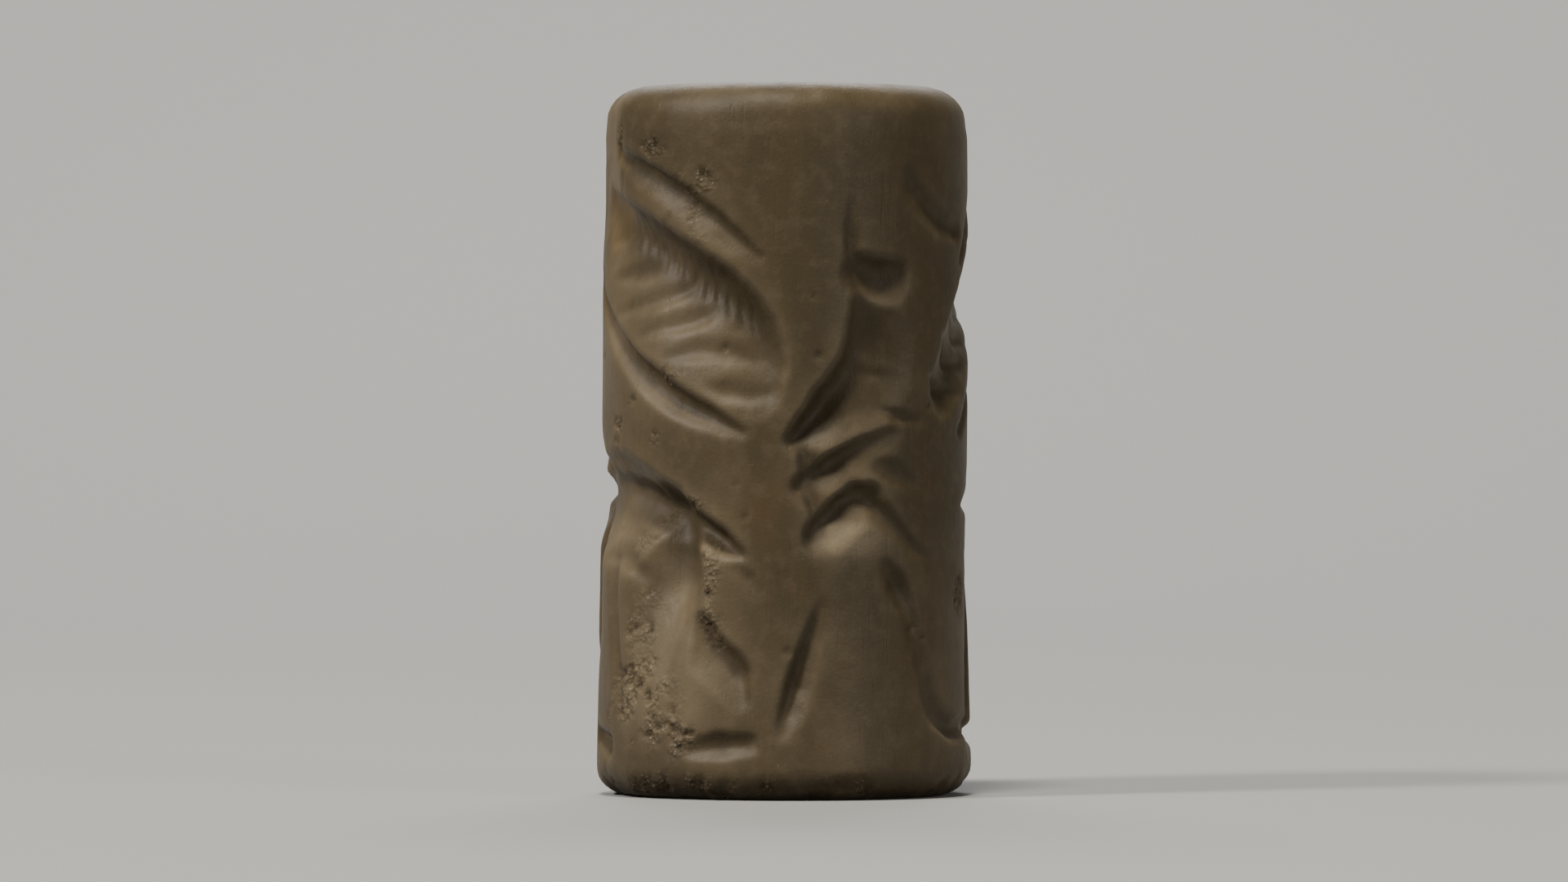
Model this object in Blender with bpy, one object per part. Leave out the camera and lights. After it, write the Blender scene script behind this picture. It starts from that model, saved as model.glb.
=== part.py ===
"""A cylinder seal: a small dark stone barrel, drilled through its length.
Round its wall two long-legged animals stand on either side of a palm tree, cut into the stone.

The seal stands on its foot, with its axis on Z and the palm tree facing -Y.
"""

import math

import bmesh
import bpy
import numpy

# The stone barrel, in metres. It is a little narrower at its waist than at its two ends.
SEAL_HEIGHT = 0.0219
HEAD_DIAMETER = 0.0115
WAIST_DIAMETER = 0.0114
FOOT_DIAMETER = 0.0117
HEAD_ROUNDING = 0.0012
FOOT_ROUNDING = 0.0009

# The hole for a cord or pin, drilled from both ends, so it is widest at its mouths
MOUTH_DIAMETER = 0.0034
BORE_DIAMETER = 0.0029
MOUTH_ROUNDING = 0.0004

# How deep the figures are cut, how deep the rim is chipped, and how far the wall is out of true
CARVING_DEPTH = 0.0006
CHIP_DEPTH = 0.0005
UNEVENNESS = 0.00005

# The carving is drawn on the wall rolled out flat, in millimetres. Across, 0 is the middle of the
# front and positive is to its right. Up is measured from the foot.
DRAWN_LENGTH = 35.8
DRAWN_HEIGHT = 21.9

# How soon the gentle bank of a leaning cut fades into the wall, and how sharp its bottom is
GENTLE_FADE = 1.0
BOTTOM_CREASE = 1.2

# How finely the wall is worked before it is thinned to its faces
WALL_COLUMNS = 240
WALL_ROWS = 140
ROUNDING_ROWS = 6
MOUTH_ROWS = 4
BORE_SIDES = 32
SOLID_TRIANGLES = 9400

STONE_COLOUR = (0.085, 0.062, 0.035, 1.0)
STONE_ROUGHNESS = 0.55


class Sheet:
    """The wall rolled out flat. It holds how deep each place is cut, as a share of the full depth."""

    def __init__(self, across, up):
        self.across = across
        self.up = up
        self.forms = numpy.zeros((len(up), len(across)))
        self.lines = numpy.zeros_like(self.forms)
        self.chips = numpy.zeros_like(self.forms)

    def form(self, points, widths, depths, lean=0.0):
        """Hollows out a rounded body or limb. Where two overlap, the deeper one counts.
        A positive lean makes its left bank long and gentle, and its right bank short and steep."""
        self.stroke(self.forms, points, widths, depths, lean)

    def line(self, points, widths, depths, lean=0.0):
        """Cuts a fine groove, also into the floor of a form."""
        self.stroke(self.lines, points, widths, depths, lean)

    def chip(self, points, widths, depths):
        """Breaks stone away."""
        self.stroke(self.chips, points, widths, depths, 0.0)

    def stroke(self, layer, points, widths, depths, lean):
        path = curve_through(points)
        half_widths = spread(widths, len(path))
        floors = spread(depths, len(path))
        for k in range(len(path) - 1):
            self.segment(layer, path[k:k + 2], half_widths[k:k + 2], floors[k:k + 2], lean)

    def segment(self, layer, ends, half_widths, floors, lean):
        (x0, y0), (x1, y1) = ends
        reach = max(half_widths) * (1 + abs(lean))
        first, last = numpy.searchsorted(self.up, (min(y0, y1) - reach, max(y0, y1) + reach))
        middle = (x0 + x1) / 2
        # The sheet's two ends meet, so distances across are taken the short way round.
        from_middle = (self.across - middle + DRAWN_LENGTH / 2) % DRAWN_LENGTH - DRAWN_LENGTH / 2
        columns = numpy.nonzero(abs(from_middle) <= abs(x1 - x0) / 2 + reach)[0]
        if last == first or not len(columns):
            return
        x = from_middle[columns][None, :] + middle - x0
        y = self.up[first:last][:, None] - y0
        length = max(math.hypot(x1 - x0, y1 - y0), 1e-6)
        along = numpy.clip((x * (x1 - x0) + y * (y1 - y0)) / length ** 2, 0, 1)
        away = numpy.hypot(x - along * (x1 - x0), y - along * (y1 - y0))
        to_left = ((x1 - x0) * y - (y1 - y0) * x) / length / numpy.maximum(away, 1e-6)
        gentle = numpy.clip(lean * to_left, 0, None)
        half_width = (half_widths[0] + (half_widths[1] - half_widths[0]) * along) * (1 + lean * to_left)
        floor = floors[0] + (floors[1] - floors[0]) * along
        bank = numpy.clip(1 - (away / half_width) ** (2 - BOTTOM_CREASE * gentle), 0, None)
        cut = floor * bank ** (1 + GENTLE_FADE * gentle)
        layer[first:last, columns] = numpy.maximum(layer[first:last, columns], cut)


def curve_through(points, steps=5):
    """A smooth curve through the points, as a list of short straight steps."""
    p = [numpy.array(point, float) for point in points]
    p = [2 * p[0] - p[1], *p, 2 * p[-1] - p[-2]]
    path = []
    for before, start, end, after in zip(p, p[1:], p[2:], p[3:]):
        for t in numpy.arange(steps) / steps:
            bend = (2 * before - 5 * start + 4 * end - after) * t * t
            twist = (3 * start - before - 3 * end + after) * t ** 3
            path.append(start + ((end - before) * t + bend + twist) / 2)
    return [*path, p[-2]]


def spread(values, count):
    """The values spread evenly over the steps of a curve."""
    places = numpy.linspace(0, 1, len(values))
    return numpy.interp(numpy.linspace(0, 1, count), places, values)


def beside(foot, tip, along, out):
    """A point beside the line from foot to tip: a share along it, and some way out to its left."""
    dx, dy = tip[0] - foot[0], tip[1] - foot[1]
    length = math.hypot(dx, dy)
    return (foot[0] + dx * along - dy / length * out, foot[1] + dy * along + dx / length * out)


def left_frond(sheet):
    """The frond that arches to the left: a hollow leaf between two outlines, with ridges on its floor."""
    deepest = [(-0.6, 12.9), (-0.85, 13.95), (-1.5, 14.9), (-2.5, 15.7), (-3.5, 16.3),
               (-4.6, 16.9), (-5.6, 17.45), (-6.6, 17.95), (-7.6, 18.3)]
    sheet.form(deepest, (1.15, 1.6, 1.9, 2.05, 2.05, 2.0, 1.75, 1.4, 1.0),
               (0.5, 0.9, 1.25, 1.4, 1.4, 1.3, 1.1, 0.8, 0.4), lean=0.6)
    sheet.line([(-0.8, 16.55), (-1.6, 17.2), (-2.35, 17.85), (-3.45, 18.55), (-4.9, 19.25), (-6.3, 19.8)],
               (0.25, 0.4, 0.5, 0.52, 0.46, 0.3), (0.15, 0.36, 0.45, 0.5, 0.5, 0.25), lean=0.5)
    sheet.line([(-1.3, 11.2), (-2.6, 11.8), (-3.8, 12.35), (-4.75, 12.9), (-5.8, 13.55), (-7.2, 14.6),
                (-9.0, 16.2)],
               (0.2, 0.42, 0.5, 0.5, 0.46, 0.4, 0.25), (0.2, 0.55, 0.7, 0.7, 0.62, 0.5, 0.25), lean=0.12)
    ridges = [
        [(-7.6, 17.1), (-6.7, 17.3), (-5.9, 17.35)],
        [(-6.9, 15.9), (-5.6, 16.0), (-4.6, 16.4)],
        [(-6.5, 14.85), (-5.2, 15.1), (-4.1, 15.35), (-3.4, 15.75), (-3.1, 16.3)],
        [(-5.2, 14.15), (-3.9, 14.4), (-2.9, 14.6), (-1.9, 15.1)],
        [(-4.0, 13.45), (-2.9, 13.6), (-1.8, 13.5), (-0.9, 13.3)],
        [(-2.5, 12.6), (-1.8, 12.35), (-1.1, 12.25), (-0.4, 12.3)],
    ]
    for ridge in ridges:
        sheet.line(ridge, (0.2, 0.42, 0.42, 0.2), (0.06, 0.26, 0.24, 0.06), lean=0.45)


def right_frond(sheet):
    """The frond that arches to the right, round to the back."""
    foot, tip = (5.6, 12.2), (14.2, 18.8)

    def at(along, out):
        return beside(foot, tip, along, out)

    leaf = [at(0.05, 0.0), at(0.35, 0.5), at(0.7, 0.5), at(0.98, 0.0)]
    sheet.form(leaf, (0.9, 1.5, 1.6, 0.8), (0.5, 0.8, 0.8, 0.4))
    outline = [at(0.36, 2.4), at(0.55, 2.75), at(0.8, 2.5), at(1.07, 0.7)]
    sheet.line(outline, (0.15, 0.32, 0.32, 0.2), (0.2, 0.5, 0.5, 0.25))
    lower_outline = [at(0.06, -1.7), at(0.4, -1.65), at(0.75, -1.25), at(1.03, -1.05)]
    sheet.line(lower_outline, (0.2, 0.3, 0.3, 0.2), (0.25, 0.45, 0.45, 0.25))
    leaflets = 8
    for k in range(leaflets):
        along = 0.02 + 0.12 * k
        crown = 1.1 + 0.5 * math.sin(math.pi * k / (leaflets - 1))
        sheet.line([at(along, crown), at(along + 0.02, 0.1), at(along + 0.14, -1.0)],
                   (0.15, 0.32, 0.15), (0.12, 0.4, 0.12))


def palm_tree(sheet):
    """The bud, the stem, the drooping skirt in tiers and the spreading foot of the trunk."""
    # The bud has a spike and a drop.
    sheet.form([(2.15, 16.3), (2.08, 17.0), (2.05, 17.6), (2.1, 18.3)],
               (0.3, 0.28, 0.22, 0.1), (0.34, 0.24, 0.16, 0.05), lean=-0.4)
    sheet.form([(2.35, 16.4), (2.7, 16.15), (3.1, 16.05), (3.5, 16.15), (3.9, 16.4)],
               (0.35, 0.75, 0.85, 0.6, 0.2), (0.3, 0.7, 0.85, 0.6, 0.15), lean=-0.35)
    # The stem bends out to the left and becomes the skirt's first tier.
    sheet.form([(2.45, 15.2), (2.55, 14.3), (2.45, 13.5), (2.0, 12.75), (1.35, 12.1), (0.75, 11.5),
                (0.3, 11.1)],
               (0.6, 1.1, 1.4, 1.35, 1.05, 0.75, 0.45), (0.3, 0.85, 1.15, 1.25, 1.15, 0.95, 0.5), lean=0.5)
    sheet.line([(2.4, 13.05), (3.2, 12.95), (3.9, 12.9)], (0.12, 0.24, 0.1), (0.06, 0.16, 0.05))
    sheet.line([(3.1, 11.95), (3.8, 11.7), (4.7, 11.55)], (0.12, 0.24, 0.12), (0.1, 0.28, 0.1))
    # The second and the third tier each have a long left side and a short right one.
    sheet.form([(0.6, 9.65), (1.0, 9.9), (1.6, 10.3), (2.4, 10.8), (3.2, 11.15), (3.8, 11.3)],
               (0.5, 0.74, 0.8, 0.7, 0.5, 0.25), (0.4, 0.65, 0.7, 0.5, 0.24, 0.05), lean=-0.55)
    sheet.form([(2.9, 10.3), (3.7, 9.95), (4.6, 9.5)], (0.4, 0.45, 0.15), (0.2, 0.22, 0.08))
    sheet.form([(0.85, 8.1), (1.1, 8.4), (1.6, 8.8), (2.1, 9.15), (2.5, 9.3)],
               (0.48, 0.7, 0.76, 0.74, 0.66), (0.5, 0.74, 0.84, 0.8, 0.72), lean=-0.55)
    sheet.form([(2.5, 9.3), (3.0, 9.0), (3.6, 8.45), (4.3, 7.8), (5.0, 7.35)],
               (0.66, 0.56, 0.44, 0.3, 0.12), (0.72, 0.58, 0.4, 0.28, 0.1), lean=-0.5)
    # The tiers start from one shallow upright cut.
    sheet.form([(0.5, 10.9), (0.72, 10.2), (0.85, 9.4), (1.0, 8.6)],
               (0.4, 0.7, 0.7, 0.5), (0.3, 0.42, 0.42, 0.35), lean=0.6)
    # The trunk is a shallow wedge between two lines that spread to the ground.
    sheet.form([(2.8, 8.0), (2.85, 5.8), (2.9, 3.5)], (0.8, 1.6, 2.3), (0.08, 0.16, 0.18))
    sheet.line([(1.1, 6.0), (0.85, 5.2), (0.55, 4.3), (0.33, 3.5), (0.13, 2.8), (-0.1, 2.05)],
               (0.16, 0.36, 0.44, 0.47, 0.42, 0.25), (0.08, 0.3, 0.52, 0.58, 0.5, 0.2), lean=0.4)
    sheet.line([(3.3, 7.2), (3.75, 6.5), (4.2, 5.7), (4.5, 4.7), (4.8, 3.6), (5.2, 2.6)],
               (0.16, 0.42, 0.32, 0.3, 0.34, 0.42), (0.15, 0.5, 0.28, 0.2, 0.22, 0.5))
    sheet.line([(5.2, 2.55), (6.2, 2.15), (7.5, 2.15)], (0.38, 0.42, 0.3), (0.5, 0.65, 0.45))
    # The first stretch of the right frond's upper outline
    sheet.line([(4.25, 19.2), (4.5, 18.65), (5.0, 18.2), (5.8, 17.8), (6.8, 17.5)],
               (0.22, 0.42, 0.52, 0.55, 0.35), (0.1, 0.32, 0.36, 0.38, 0.3), lean=-0.3)


def leg(sheet, joints, widths, depths, hoof):
    """A leg from joint to joint, and its short level hoof."""
    sheet.form(joints, widths, depths)
    sheet.form(hoof, (0.4, 0.26), (0.75, 0.45))


def climber(sheet):
    """The animal to the left of the tree. It looks back, with its forelegs raised."""
    # Body, back line, belly line and haunch
    sheet.form([(-3.6, 8.2), (-4.3, 8.6), (-5.3, 8.95), (-6.6, 9.2), (-8.0, 9.35), (-9.3, 9.5)],
               (1.1, 1.5, 1.7, 1.6, 1.4, 1.15), (0.95, 1.2, 1.25, 1.15, 1.0, 0.9), lean=0.5)
    sheet.line([(-7.4, 10.1), (-6.1, 9.85), (-4.9, 9.35), (-3.8, 8.8), (-2.8, 8.3), (-1.9, 7.85),
                (-1.2, 7.4)],
               (0.6, 0.95, 1.0, 0.85, 0.58, 0.4, 0.14), (0.25, 0.7, 0.8, 0.7, 0.5, 0.38, 0.1), lean=-0.15)
    sheet.line([(-7.4, 7.3), (-6.5, 7.35), (-5.7, 7.1), (-5.1, 6.7)],
               (0.2, 0.4, 0.4, 0.2), (0.08, 0.26, 0.26, 0.06), lean=0.4)
    sheet.form([(-3.9, 8.5), (-3.7, 7.6), (-3.7, 6.8), (-3.8, 5.8), (-3.9, 4.8)],
               (1.3, 1.5, 1.75, 1.9, 1.6), (1.2, 1.45, 1.35, 0.6, 0.05), lean=-0.3)
    # Hind leg, hoof and tail
    sheet.form([(-2.65, 5.35), (-2.15, 4.6), (-1.55, 4.0), (-1.3, 3.2)],
               (0.6, 0.75, 0.75, 0.5), (0.55, 0.75, 0.7, 0.25), lean=-0.4)
    sheet.form([(-1.1, 1.75), (-2.0, 1.7), (-3.0, 1.55)], (0.35, 0.45, 0.3), (0.3, 0.5, 0.2))
    sheet.form([(-3.4, 8.55), (-2.6, 8.25), (-1.95, 7.9), (-1.35, 7.5)],
               (0.6, 0.5, 0.42, 0.18), (0.85, 0.85, 0.7, 0.2), lean=-0.2)
    sheet.line([(-1.5, 7.1), (-1.1, 6.75), (-0.75, 6.3)], (0.2, 0.24, 0.12), (0.1, 0.16, 0.05))
    # Neck, head, ear and horn
    sheet.form([(-8.6, 9.8), (-9.8, 11.1), (-11.2, 12.5), (-12.2, 13.6)],
               (1.2, 0.8, 0.62, 0.45), (0.9, 0.8, 0.75, 0.65))
    sheet.form([(-12.1, 13.5), (-12.3, 14.9), (-12.85, 16.2), (-13.5, 17.1), (-14.1, 17.6)],
               (0.5, 0.6, 0.4, 0.5, 0.38), (0.65, 0.7, 0.6, 0.75, 0.5))
    sheet.form([(-13.5, 17.3), (-13.8, 18.5)], (0.42, 0.2), (0.6, 0.25))
    sheet.line([(-13.2, 17.6), (-12.4, 18.7)], (0.3, 0.24), (0.25, 0.35))
    # Raised forelegs
    sheet.form([(-8.6, 8.6), (-10.2, 9.45), (-11.3, 9.3), (-12.4, 8.4)],
               (0.6, 0.5, 0.42, 0.15), (0.75, 0.75, 0.55, 0.15))
    sheet.form([(-11.0, 9.5), (-12.0, 10.2), (-13.1, 11.0)], (0.42, 0.32, 0.15), (0.6, 0.5, 0.2))
    sheet.line([(-14.9, 9.8), (-14.2, 9.1), (-13.9, 8.2)], (0.3, 0.32, 0.2), (0.25, 0.3, 0.12))
    # The other hind leg, and a plant before it
    leg(sheet, [(-6.8, 7.2), (-6.5, 5.0), (-6.3, 3.8), (-6.1, 2.7)],
        (0.45, 0.36, 0.36, 0.25), (0.35, 0.28, 0.3, 0.15), [(-7.0, 1.6), (-8.4, 1.85)])
    sheet.form([(-8.6, 8.4), (-8.5, 6.6), (-8.4, 5.2)], (0.6, 0.5, 0.42), (0.65, 0.5, 0.45))
    sheet.form([(-8.5, 4.8), (-9.4, 3.6), (-10.4, 2.95), (-11.2, 2.85)],
               (0.4, 0.6, 0.6, 0.35), (0.4, 0.75, 0.8, 0.55))


def grazer(sheet):
    """The animal at the back. It faces the climber, over a curled horn that lies at its feet."""
    # Body, shoulder and breast, and tail
    sheet.form([(10.0, 9.9), (11.8, 9.8), (14.2, 9.9), (16.0, 9.9)],
               (1.1, 1.6, 1.7, 1.7), (0.65, 0.9, 0.95, 0.95))
    sheet.form([(15.6, 10.3), (17.0, 9.9), (18.2, 9.4)], (1.5, 1.2, 0.7), (0.95, 0.9, 0.65))
    sheet.form([(15.8, 9.3), (15.6, 7.9), (14.9, 6.6)], (1.6, 1.3, 0.8), (0.85, 0.7, 0.4))
    sheet.form([(9.4, 9.0), (8.5, 9.05), (7.5, 8.9)], (0.45, 0.36, 0.15), (0.55, 0.45, 0.12))
    # The legs, of which the last is stretched forward
    leg(sheet, [(9.4, 9.3), (8.8, 7.2), (8.3, 5.2), (7.95, 3.6), (8.0, 2.3)],
        (1.0, 0.9, 0.55, 0.4, 0.4), (0.75, 0.65, 0.55, 0.5, 0.5), [(7.9, 1.85), (10.1, 1.85)])
    leg(sheet, [(11.3, 8.2), (11.15, 5.6), (11.3, 2.8)],
        (0.7, 0.6, 0.5), (0.5, 0.5, 0.6), [(11.3, 2.2), (12.7, 1.6)])
    leg(sheet, [(14.4, 6.4), (14.2, 4.4), (14.1, 2.8)],
        (0.55, 0.42, 0.42), (0.5, 0.5, 0.5), [(14.2, 2.3), (14.8, 1.7)])
    leg(sheet, [(18.0, 9.7), (19.6, 8.1), (21.1, 6.85), (21.75, 5.8), (21.95, 4.5), (22.2, 3.3)],
        (0.65, 0.5, 0.5, 0.4, 0.38, 0.4), (0.85, 0.75, 0.75, 0.6, 0.5, 0.6), [(22.2, 3.1), (24.2, 1.6)])
    # The curled horn
    sheet.form([(15.4, 4.8), (16.3, 3.9), (17.1, 3.1), (18.3, 2.9), (19.5, 3.2), (19.7, 4.6), (18.1, 6.0)],
               (0.35, 0.55, 0.58, 0.5, 0.5, 0.5, 0.35), (0.6, 0.8, 0.8, 0.75, 0.75, 0.8, 0.5))


def hand(sheet):
    """An arm that reaches over the grazer's back, with its fingers spread, and a knob above it."""
    palm = (18.6, 15.9)
    # Arm and fingers
    sheet.form([(14.3, 15.7), (15.6, 16.05), (17.0, 15.9), palm],
               (0.35, 0.5, 0.6, 0.8), (0.55, 0.75, 0.8, 0.8))
    fingers = 5
    for k in range(fingers):
        swing = math.radians(20 - 17 * k)
        reach = 3.2 - 0.1 * k
        tip = (palm[0] + reach * math.cos(swing), palm[1] + reach * math.sin(swing))
        sheet.form([palm, tip], (0.7, 0.22), (0.75, 0.35))
    # A spur under the arm, the knob and its stalk, and two scratches
    sheet.form([(14.9, 15.5), (15.4, 14.8)], (0.35, 0.25), (0.55, 0.4))
    sheet.form([(18.4, 19.0), (18.7, 19.05)], (0.75, 0.7), (0.8, 0.75))
    sheet.form([(17.95, 18.5), (17.4, 17.2)], (0.3, 0.4), (0.4, 0.55))
    sheet.line([(13.9, 15.0), (13.85, 13.6), (14.6, 12.7), (15.5, 12.1)],
               (0.25, 0.3, 0.3, 0.15), (0.15, 0.2, 0.2, 0.1))
    sheet.line([(16.3, 13.1), (17.3, 13.3)], (0.22, 0.15), (0.3, 0.15))


def rim_chips(sheet):
    """Where the head's rim is broken, and the wall below it with it."""
    sheet.chip([(-8.4, 21.3), (-8.2, 20.0), (-8.1, 18.4), (-8.0, 17.2)],
               (1.9, 2.1, 2.0, 1.5), (0.4, 0.65, 0.6, 0.2))
    sheet.chip([(15.3, 21.9), (15.5, 20.4), (15.3, 19.2)], (1.3, 1.1, 0.5), (0.35, 0.4, 0.15))


def barrel_radius(height):
    """The radius of the uncarved barrel at a height above the foot."""
    from_waist = 2 * height / SEAL_HEIGHT - 1
    end_diameter = numpy.where(from_waist > 0, HEAD_DIAMETER, FOOT_DIAMETER)
    return (WAIST_DIAMETER + (end_diameter - WAIST_DIAMETER) * from_waist ** 2) / 2


def wall_profile():
    """The radius and height of each row of the wall, from the foot's flat face to the head's."""
    turn = numpy.linspace(0, math.pi / 2, ROUNDING_ROWS + 1)
    foot_heights = FOOT_ROUNDING * (1 - numpy.cos(turn))
    foot_insets = FOOT_ROUNDING * (1 - numpy.sin(turn))
    head_heights = SEAL_HEIGHT - HEAD_ROUNDING * (1 - numpy.cos(turn))[::-1]
    head_insets = HEAD_ROUNDING * (1 - numpy.sin(turn))[::-1]
    between = numpy.linspace(FOOT_ROUNDING, SEAL_HEIGHT - HEAD_ROUNDING, WALL_ROWS)[1:-1]
    heights = numpy.concatenate([foot_heights, between, head_heights])
    insets = numpy.concatenate([foot_insets, numpy.zeros(len(between)), head_insets])
    return barrel_radius(heights) - insets, heights


def carved_wall():
    """The points of the wall, row by row: the barrel, out of true by a little, with its carving."""
    radii, heights = wall_profile()
    angles = numpy.arange(WALL_COLUMNS) * 2 * math.pi / WALL_COLUMNS
    sheet = Sheet(angles / (2 * math.pi) * DRAWN_LENGTH, heights / SEAL_HEIGHT * DRAWN_HEIGHT)
    for draw in (left_frond, right_frond, palm_tree, climber, grazer, hand, rim_chips):
        draw(sheet)
    turn, share = numpy.meshgrid(angles, heights / SEAL_HEIGHT)
    waves = numpy.sin(2 * turn + 2 * share) + numpy.sin(3 * turn - 5 * share) + numpy.sin(turn + 9 * share)
    depth = CARVING_DEPTH * (sheet.forms + sheet.lines) + CHIP_DEPTH * sheet.chips
    radius = radii[:, None] + UNEVENNESS * waves / 2 - depth
    # The front of the drawing faces -Y, and it runs to the right as seen from there.
    return numpy.dstack([radius * numpy.sin(turn), -radius * numpy.cos(turn),
                         numpy.broadcast_to(heights[:, None], radius.shape)])


def bore_profile():
    """The radius and height of each ring of the bore, from its lower mouth to its upper one."""
    turn = numpy.linspace(0, math.pi / 2, MOUTH_ROWS)
    flare = MOUTH_ROUNDING * (1 - numpy.sin(turn))
    rise = MOUTH_ROUNDING * (1 - numpy.cos(turn))
    radii = [*(MOUTH_DIAMETER / 2 + flare), BORE_DIAMETER / 2, *(MOUTH_DIAMETER / 2 + flare)[::-1]]
    heights = [*rise, SEAL_HEIGHT / 2, *(SEAL_HEIGHT - rise)[::-1]]
    return zip(radii, heights)


def add_rings(bm, rings):
    """Joins rings of points into a tube and gives back its rings of vertices."""
    vertices = [[bm.verts.new(point) for point in ring] for ring in rings]
    for low, high in zip(vertices, vertices[1:]):
        for k in range(len(low)):
            after = (k + 1) % len(low)
            bm.faces.new((low[k], low[after], high[after], high[k]))
    return vertices


def fill_end(bm, outer, inner):
    """The flat face of one end, between the edge of the wall and the mouth of the bore."""
    edges = []
    for ring in (outer, inner):
        edges += [bm.edges.get((ring[k - 1], ring[k])) for k in range(len(ring))]
    bmesh.ops.triangle_fill(bm, edges=edges, use_beauty=True)


def stone():
    material = bpy.data.materials.new("stone")
    material.use_nodes = True
    shader = material.node_tree.nodes["Principled BSDF"]
    shader.inputs["Base Color"].default_value = STONE_COLOUR
    shader.inputs["Roughness"].default_value = STONE_ROUGHNESS
    return material


def make_seal():
    bm = bmesh.new()
    wall = add_rings(bm, carved_wall())
    bore_angles = numpy.arange(BORE_SIDES) * 2 * math.pi / BORE_SIDES
    bore = add_rings(bm, [
        [(radius * math.cos(angle), -radius * math.sin(angle), height) for angle in bore_angles]
        for radius, height in bore_profile()
    ])
    fill_end(bm, wall[0], bore[0])
    fill_end(bm, wall[-1], bore[-1])
    bmesh.ops.recalc_face_normals(bm, faces=bm.faces)
    bm.verts.index_update()
    thinned = [vertex.index for ring in wall[1:-1] for vertex in ring]
    triangles = sum(len(face.verts) - 2 for face in bm.faces)

    mesh = bpy.data.meshes.new("seal")
    bm.to_mesh(mesh)
    bm.free()
    mesh.shade_smooth()
    mesh.materials.append(stone())
    seal = bpy.data.objects.new("seal", mesh)
    bpy.context.scene.collection.objects.link(seal)

    # Thinning keeps the faces where the carving bends, and leaves the flat ends and the bore alone.
    seal.vertex_groups.new(name="wall").add(thinned, 1.0, "REPLACE")
    thin = seal.modifiers.new("Thin the wall", "DECIMATE")
    thin.ratio = min(1.0, SOLID_TRIANGLES / triangles)
    thin.vertex_group = "wall"
    return seal


def clear_scene():
    for obj in list(bpy.data.objects):
        bpy.data.objects.remove(obj, do_unlink=True)


clear_scene()
make_seal()
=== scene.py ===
# %% [markdown]
# # A cylinder seal in dark stone
#
# The object is a small stone barrel, about as long as a fingertip. A hole runs through its length
# for a cord or a pin. Round its wall an engraver has cut two long-legged animals on either side of
# a palm tree, all of them hollowed into the stone, so that the seal leaves a band of raised
# figures wherever it is rolled over something soft.
#
# The lesson follows the maker. The drawing is cut on a flat sheet, the sheet is rolled round the
# barrel, the ends are closed and drilled, and the stone gets its colour, polish and wear.

# %% Load the frame
import math

import bmesh
import bpy
import numpy
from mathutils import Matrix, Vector


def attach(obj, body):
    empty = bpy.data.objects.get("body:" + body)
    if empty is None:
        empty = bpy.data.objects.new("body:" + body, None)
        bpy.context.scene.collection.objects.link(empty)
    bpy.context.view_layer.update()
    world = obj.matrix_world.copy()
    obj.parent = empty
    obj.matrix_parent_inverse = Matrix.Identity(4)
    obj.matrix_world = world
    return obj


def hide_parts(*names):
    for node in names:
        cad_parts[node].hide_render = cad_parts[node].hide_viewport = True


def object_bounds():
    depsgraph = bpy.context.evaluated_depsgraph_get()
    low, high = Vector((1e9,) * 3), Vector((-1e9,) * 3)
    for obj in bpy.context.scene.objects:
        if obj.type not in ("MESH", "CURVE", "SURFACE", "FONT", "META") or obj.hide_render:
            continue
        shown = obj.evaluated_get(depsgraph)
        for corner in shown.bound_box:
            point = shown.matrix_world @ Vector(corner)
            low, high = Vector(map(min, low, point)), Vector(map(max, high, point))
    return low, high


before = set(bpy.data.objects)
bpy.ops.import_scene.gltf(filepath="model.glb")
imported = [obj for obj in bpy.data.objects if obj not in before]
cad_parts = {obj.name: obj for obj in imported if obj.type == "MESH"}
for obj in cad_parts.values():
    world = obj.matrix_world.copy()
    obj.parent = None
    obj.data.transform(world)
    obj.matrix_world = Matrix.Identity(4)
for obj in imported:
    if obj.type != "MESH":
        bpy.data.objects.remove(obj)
cad_low, cad_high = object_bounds()

MM = 0.001
seal_height = cad_high.z - cad_low.z
print(f"The seal is {seal_height / MM:.1f} mm tall and {(cad_high.x - cad_low.x) / MM:.1f} mm across")

# %% [markdown]
# ## The sheet that the engraver draws on
#
# A picture that runs round a cylinder is easiest to plan on its unrolled surface, a sheet as long
# as the way round and as high as the seal. On the sheet, across is 0 in the middle of the front,
# and up is measured from the foot, both in millimetres. A grid of depths is enough, because a
# graver only ever takes stone away from the surface: nothing is undercut.
#
# Real strokes are never quite even. So the grid's own places drift by a few hundredths of a
# millimetre, and every line drawn on it later comes out slightly wavy, as if cut by hand.

# %% The grid of the sheet
SHEET_LENGTH = 35.8
SHEET_HEIGHT = seal_height / MM
COLUMNS = 416
WALL_ROWS = 186
ROUNDING_ROWS = 8
HEAD_ROUNDING = 1.2
FOOT_ROUNDING = 0.9

turn = numpy.linspace(0, math.pi / 2, ROUNDING_ROWS + 1)
foot_rows = FOOT_ROUNDING * (1 - numpy.cos(turn))
head_rows = SHEET_HEIGHT - HEAD_ROUNDING * (1 - numpy.cos(turn))[::-1]
wall_rows = numpy.linspace(FOOT_ROUNDING, SHEET_HEIGHT - HEAD_ROUNDING, WALL_ROWS)[1:-1]
up = numpy.concatenate([foot_rows, wall_rows, head_rows])
across = numpy.arange(COLUMNS) * SHEET_LENGTH / COLUMNS
print(f"The sheet has {COLUMNS} columns and {len(up)} rows, {SHEET_LENGTH / COLUMNS:.3f} mm apart")

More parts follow.
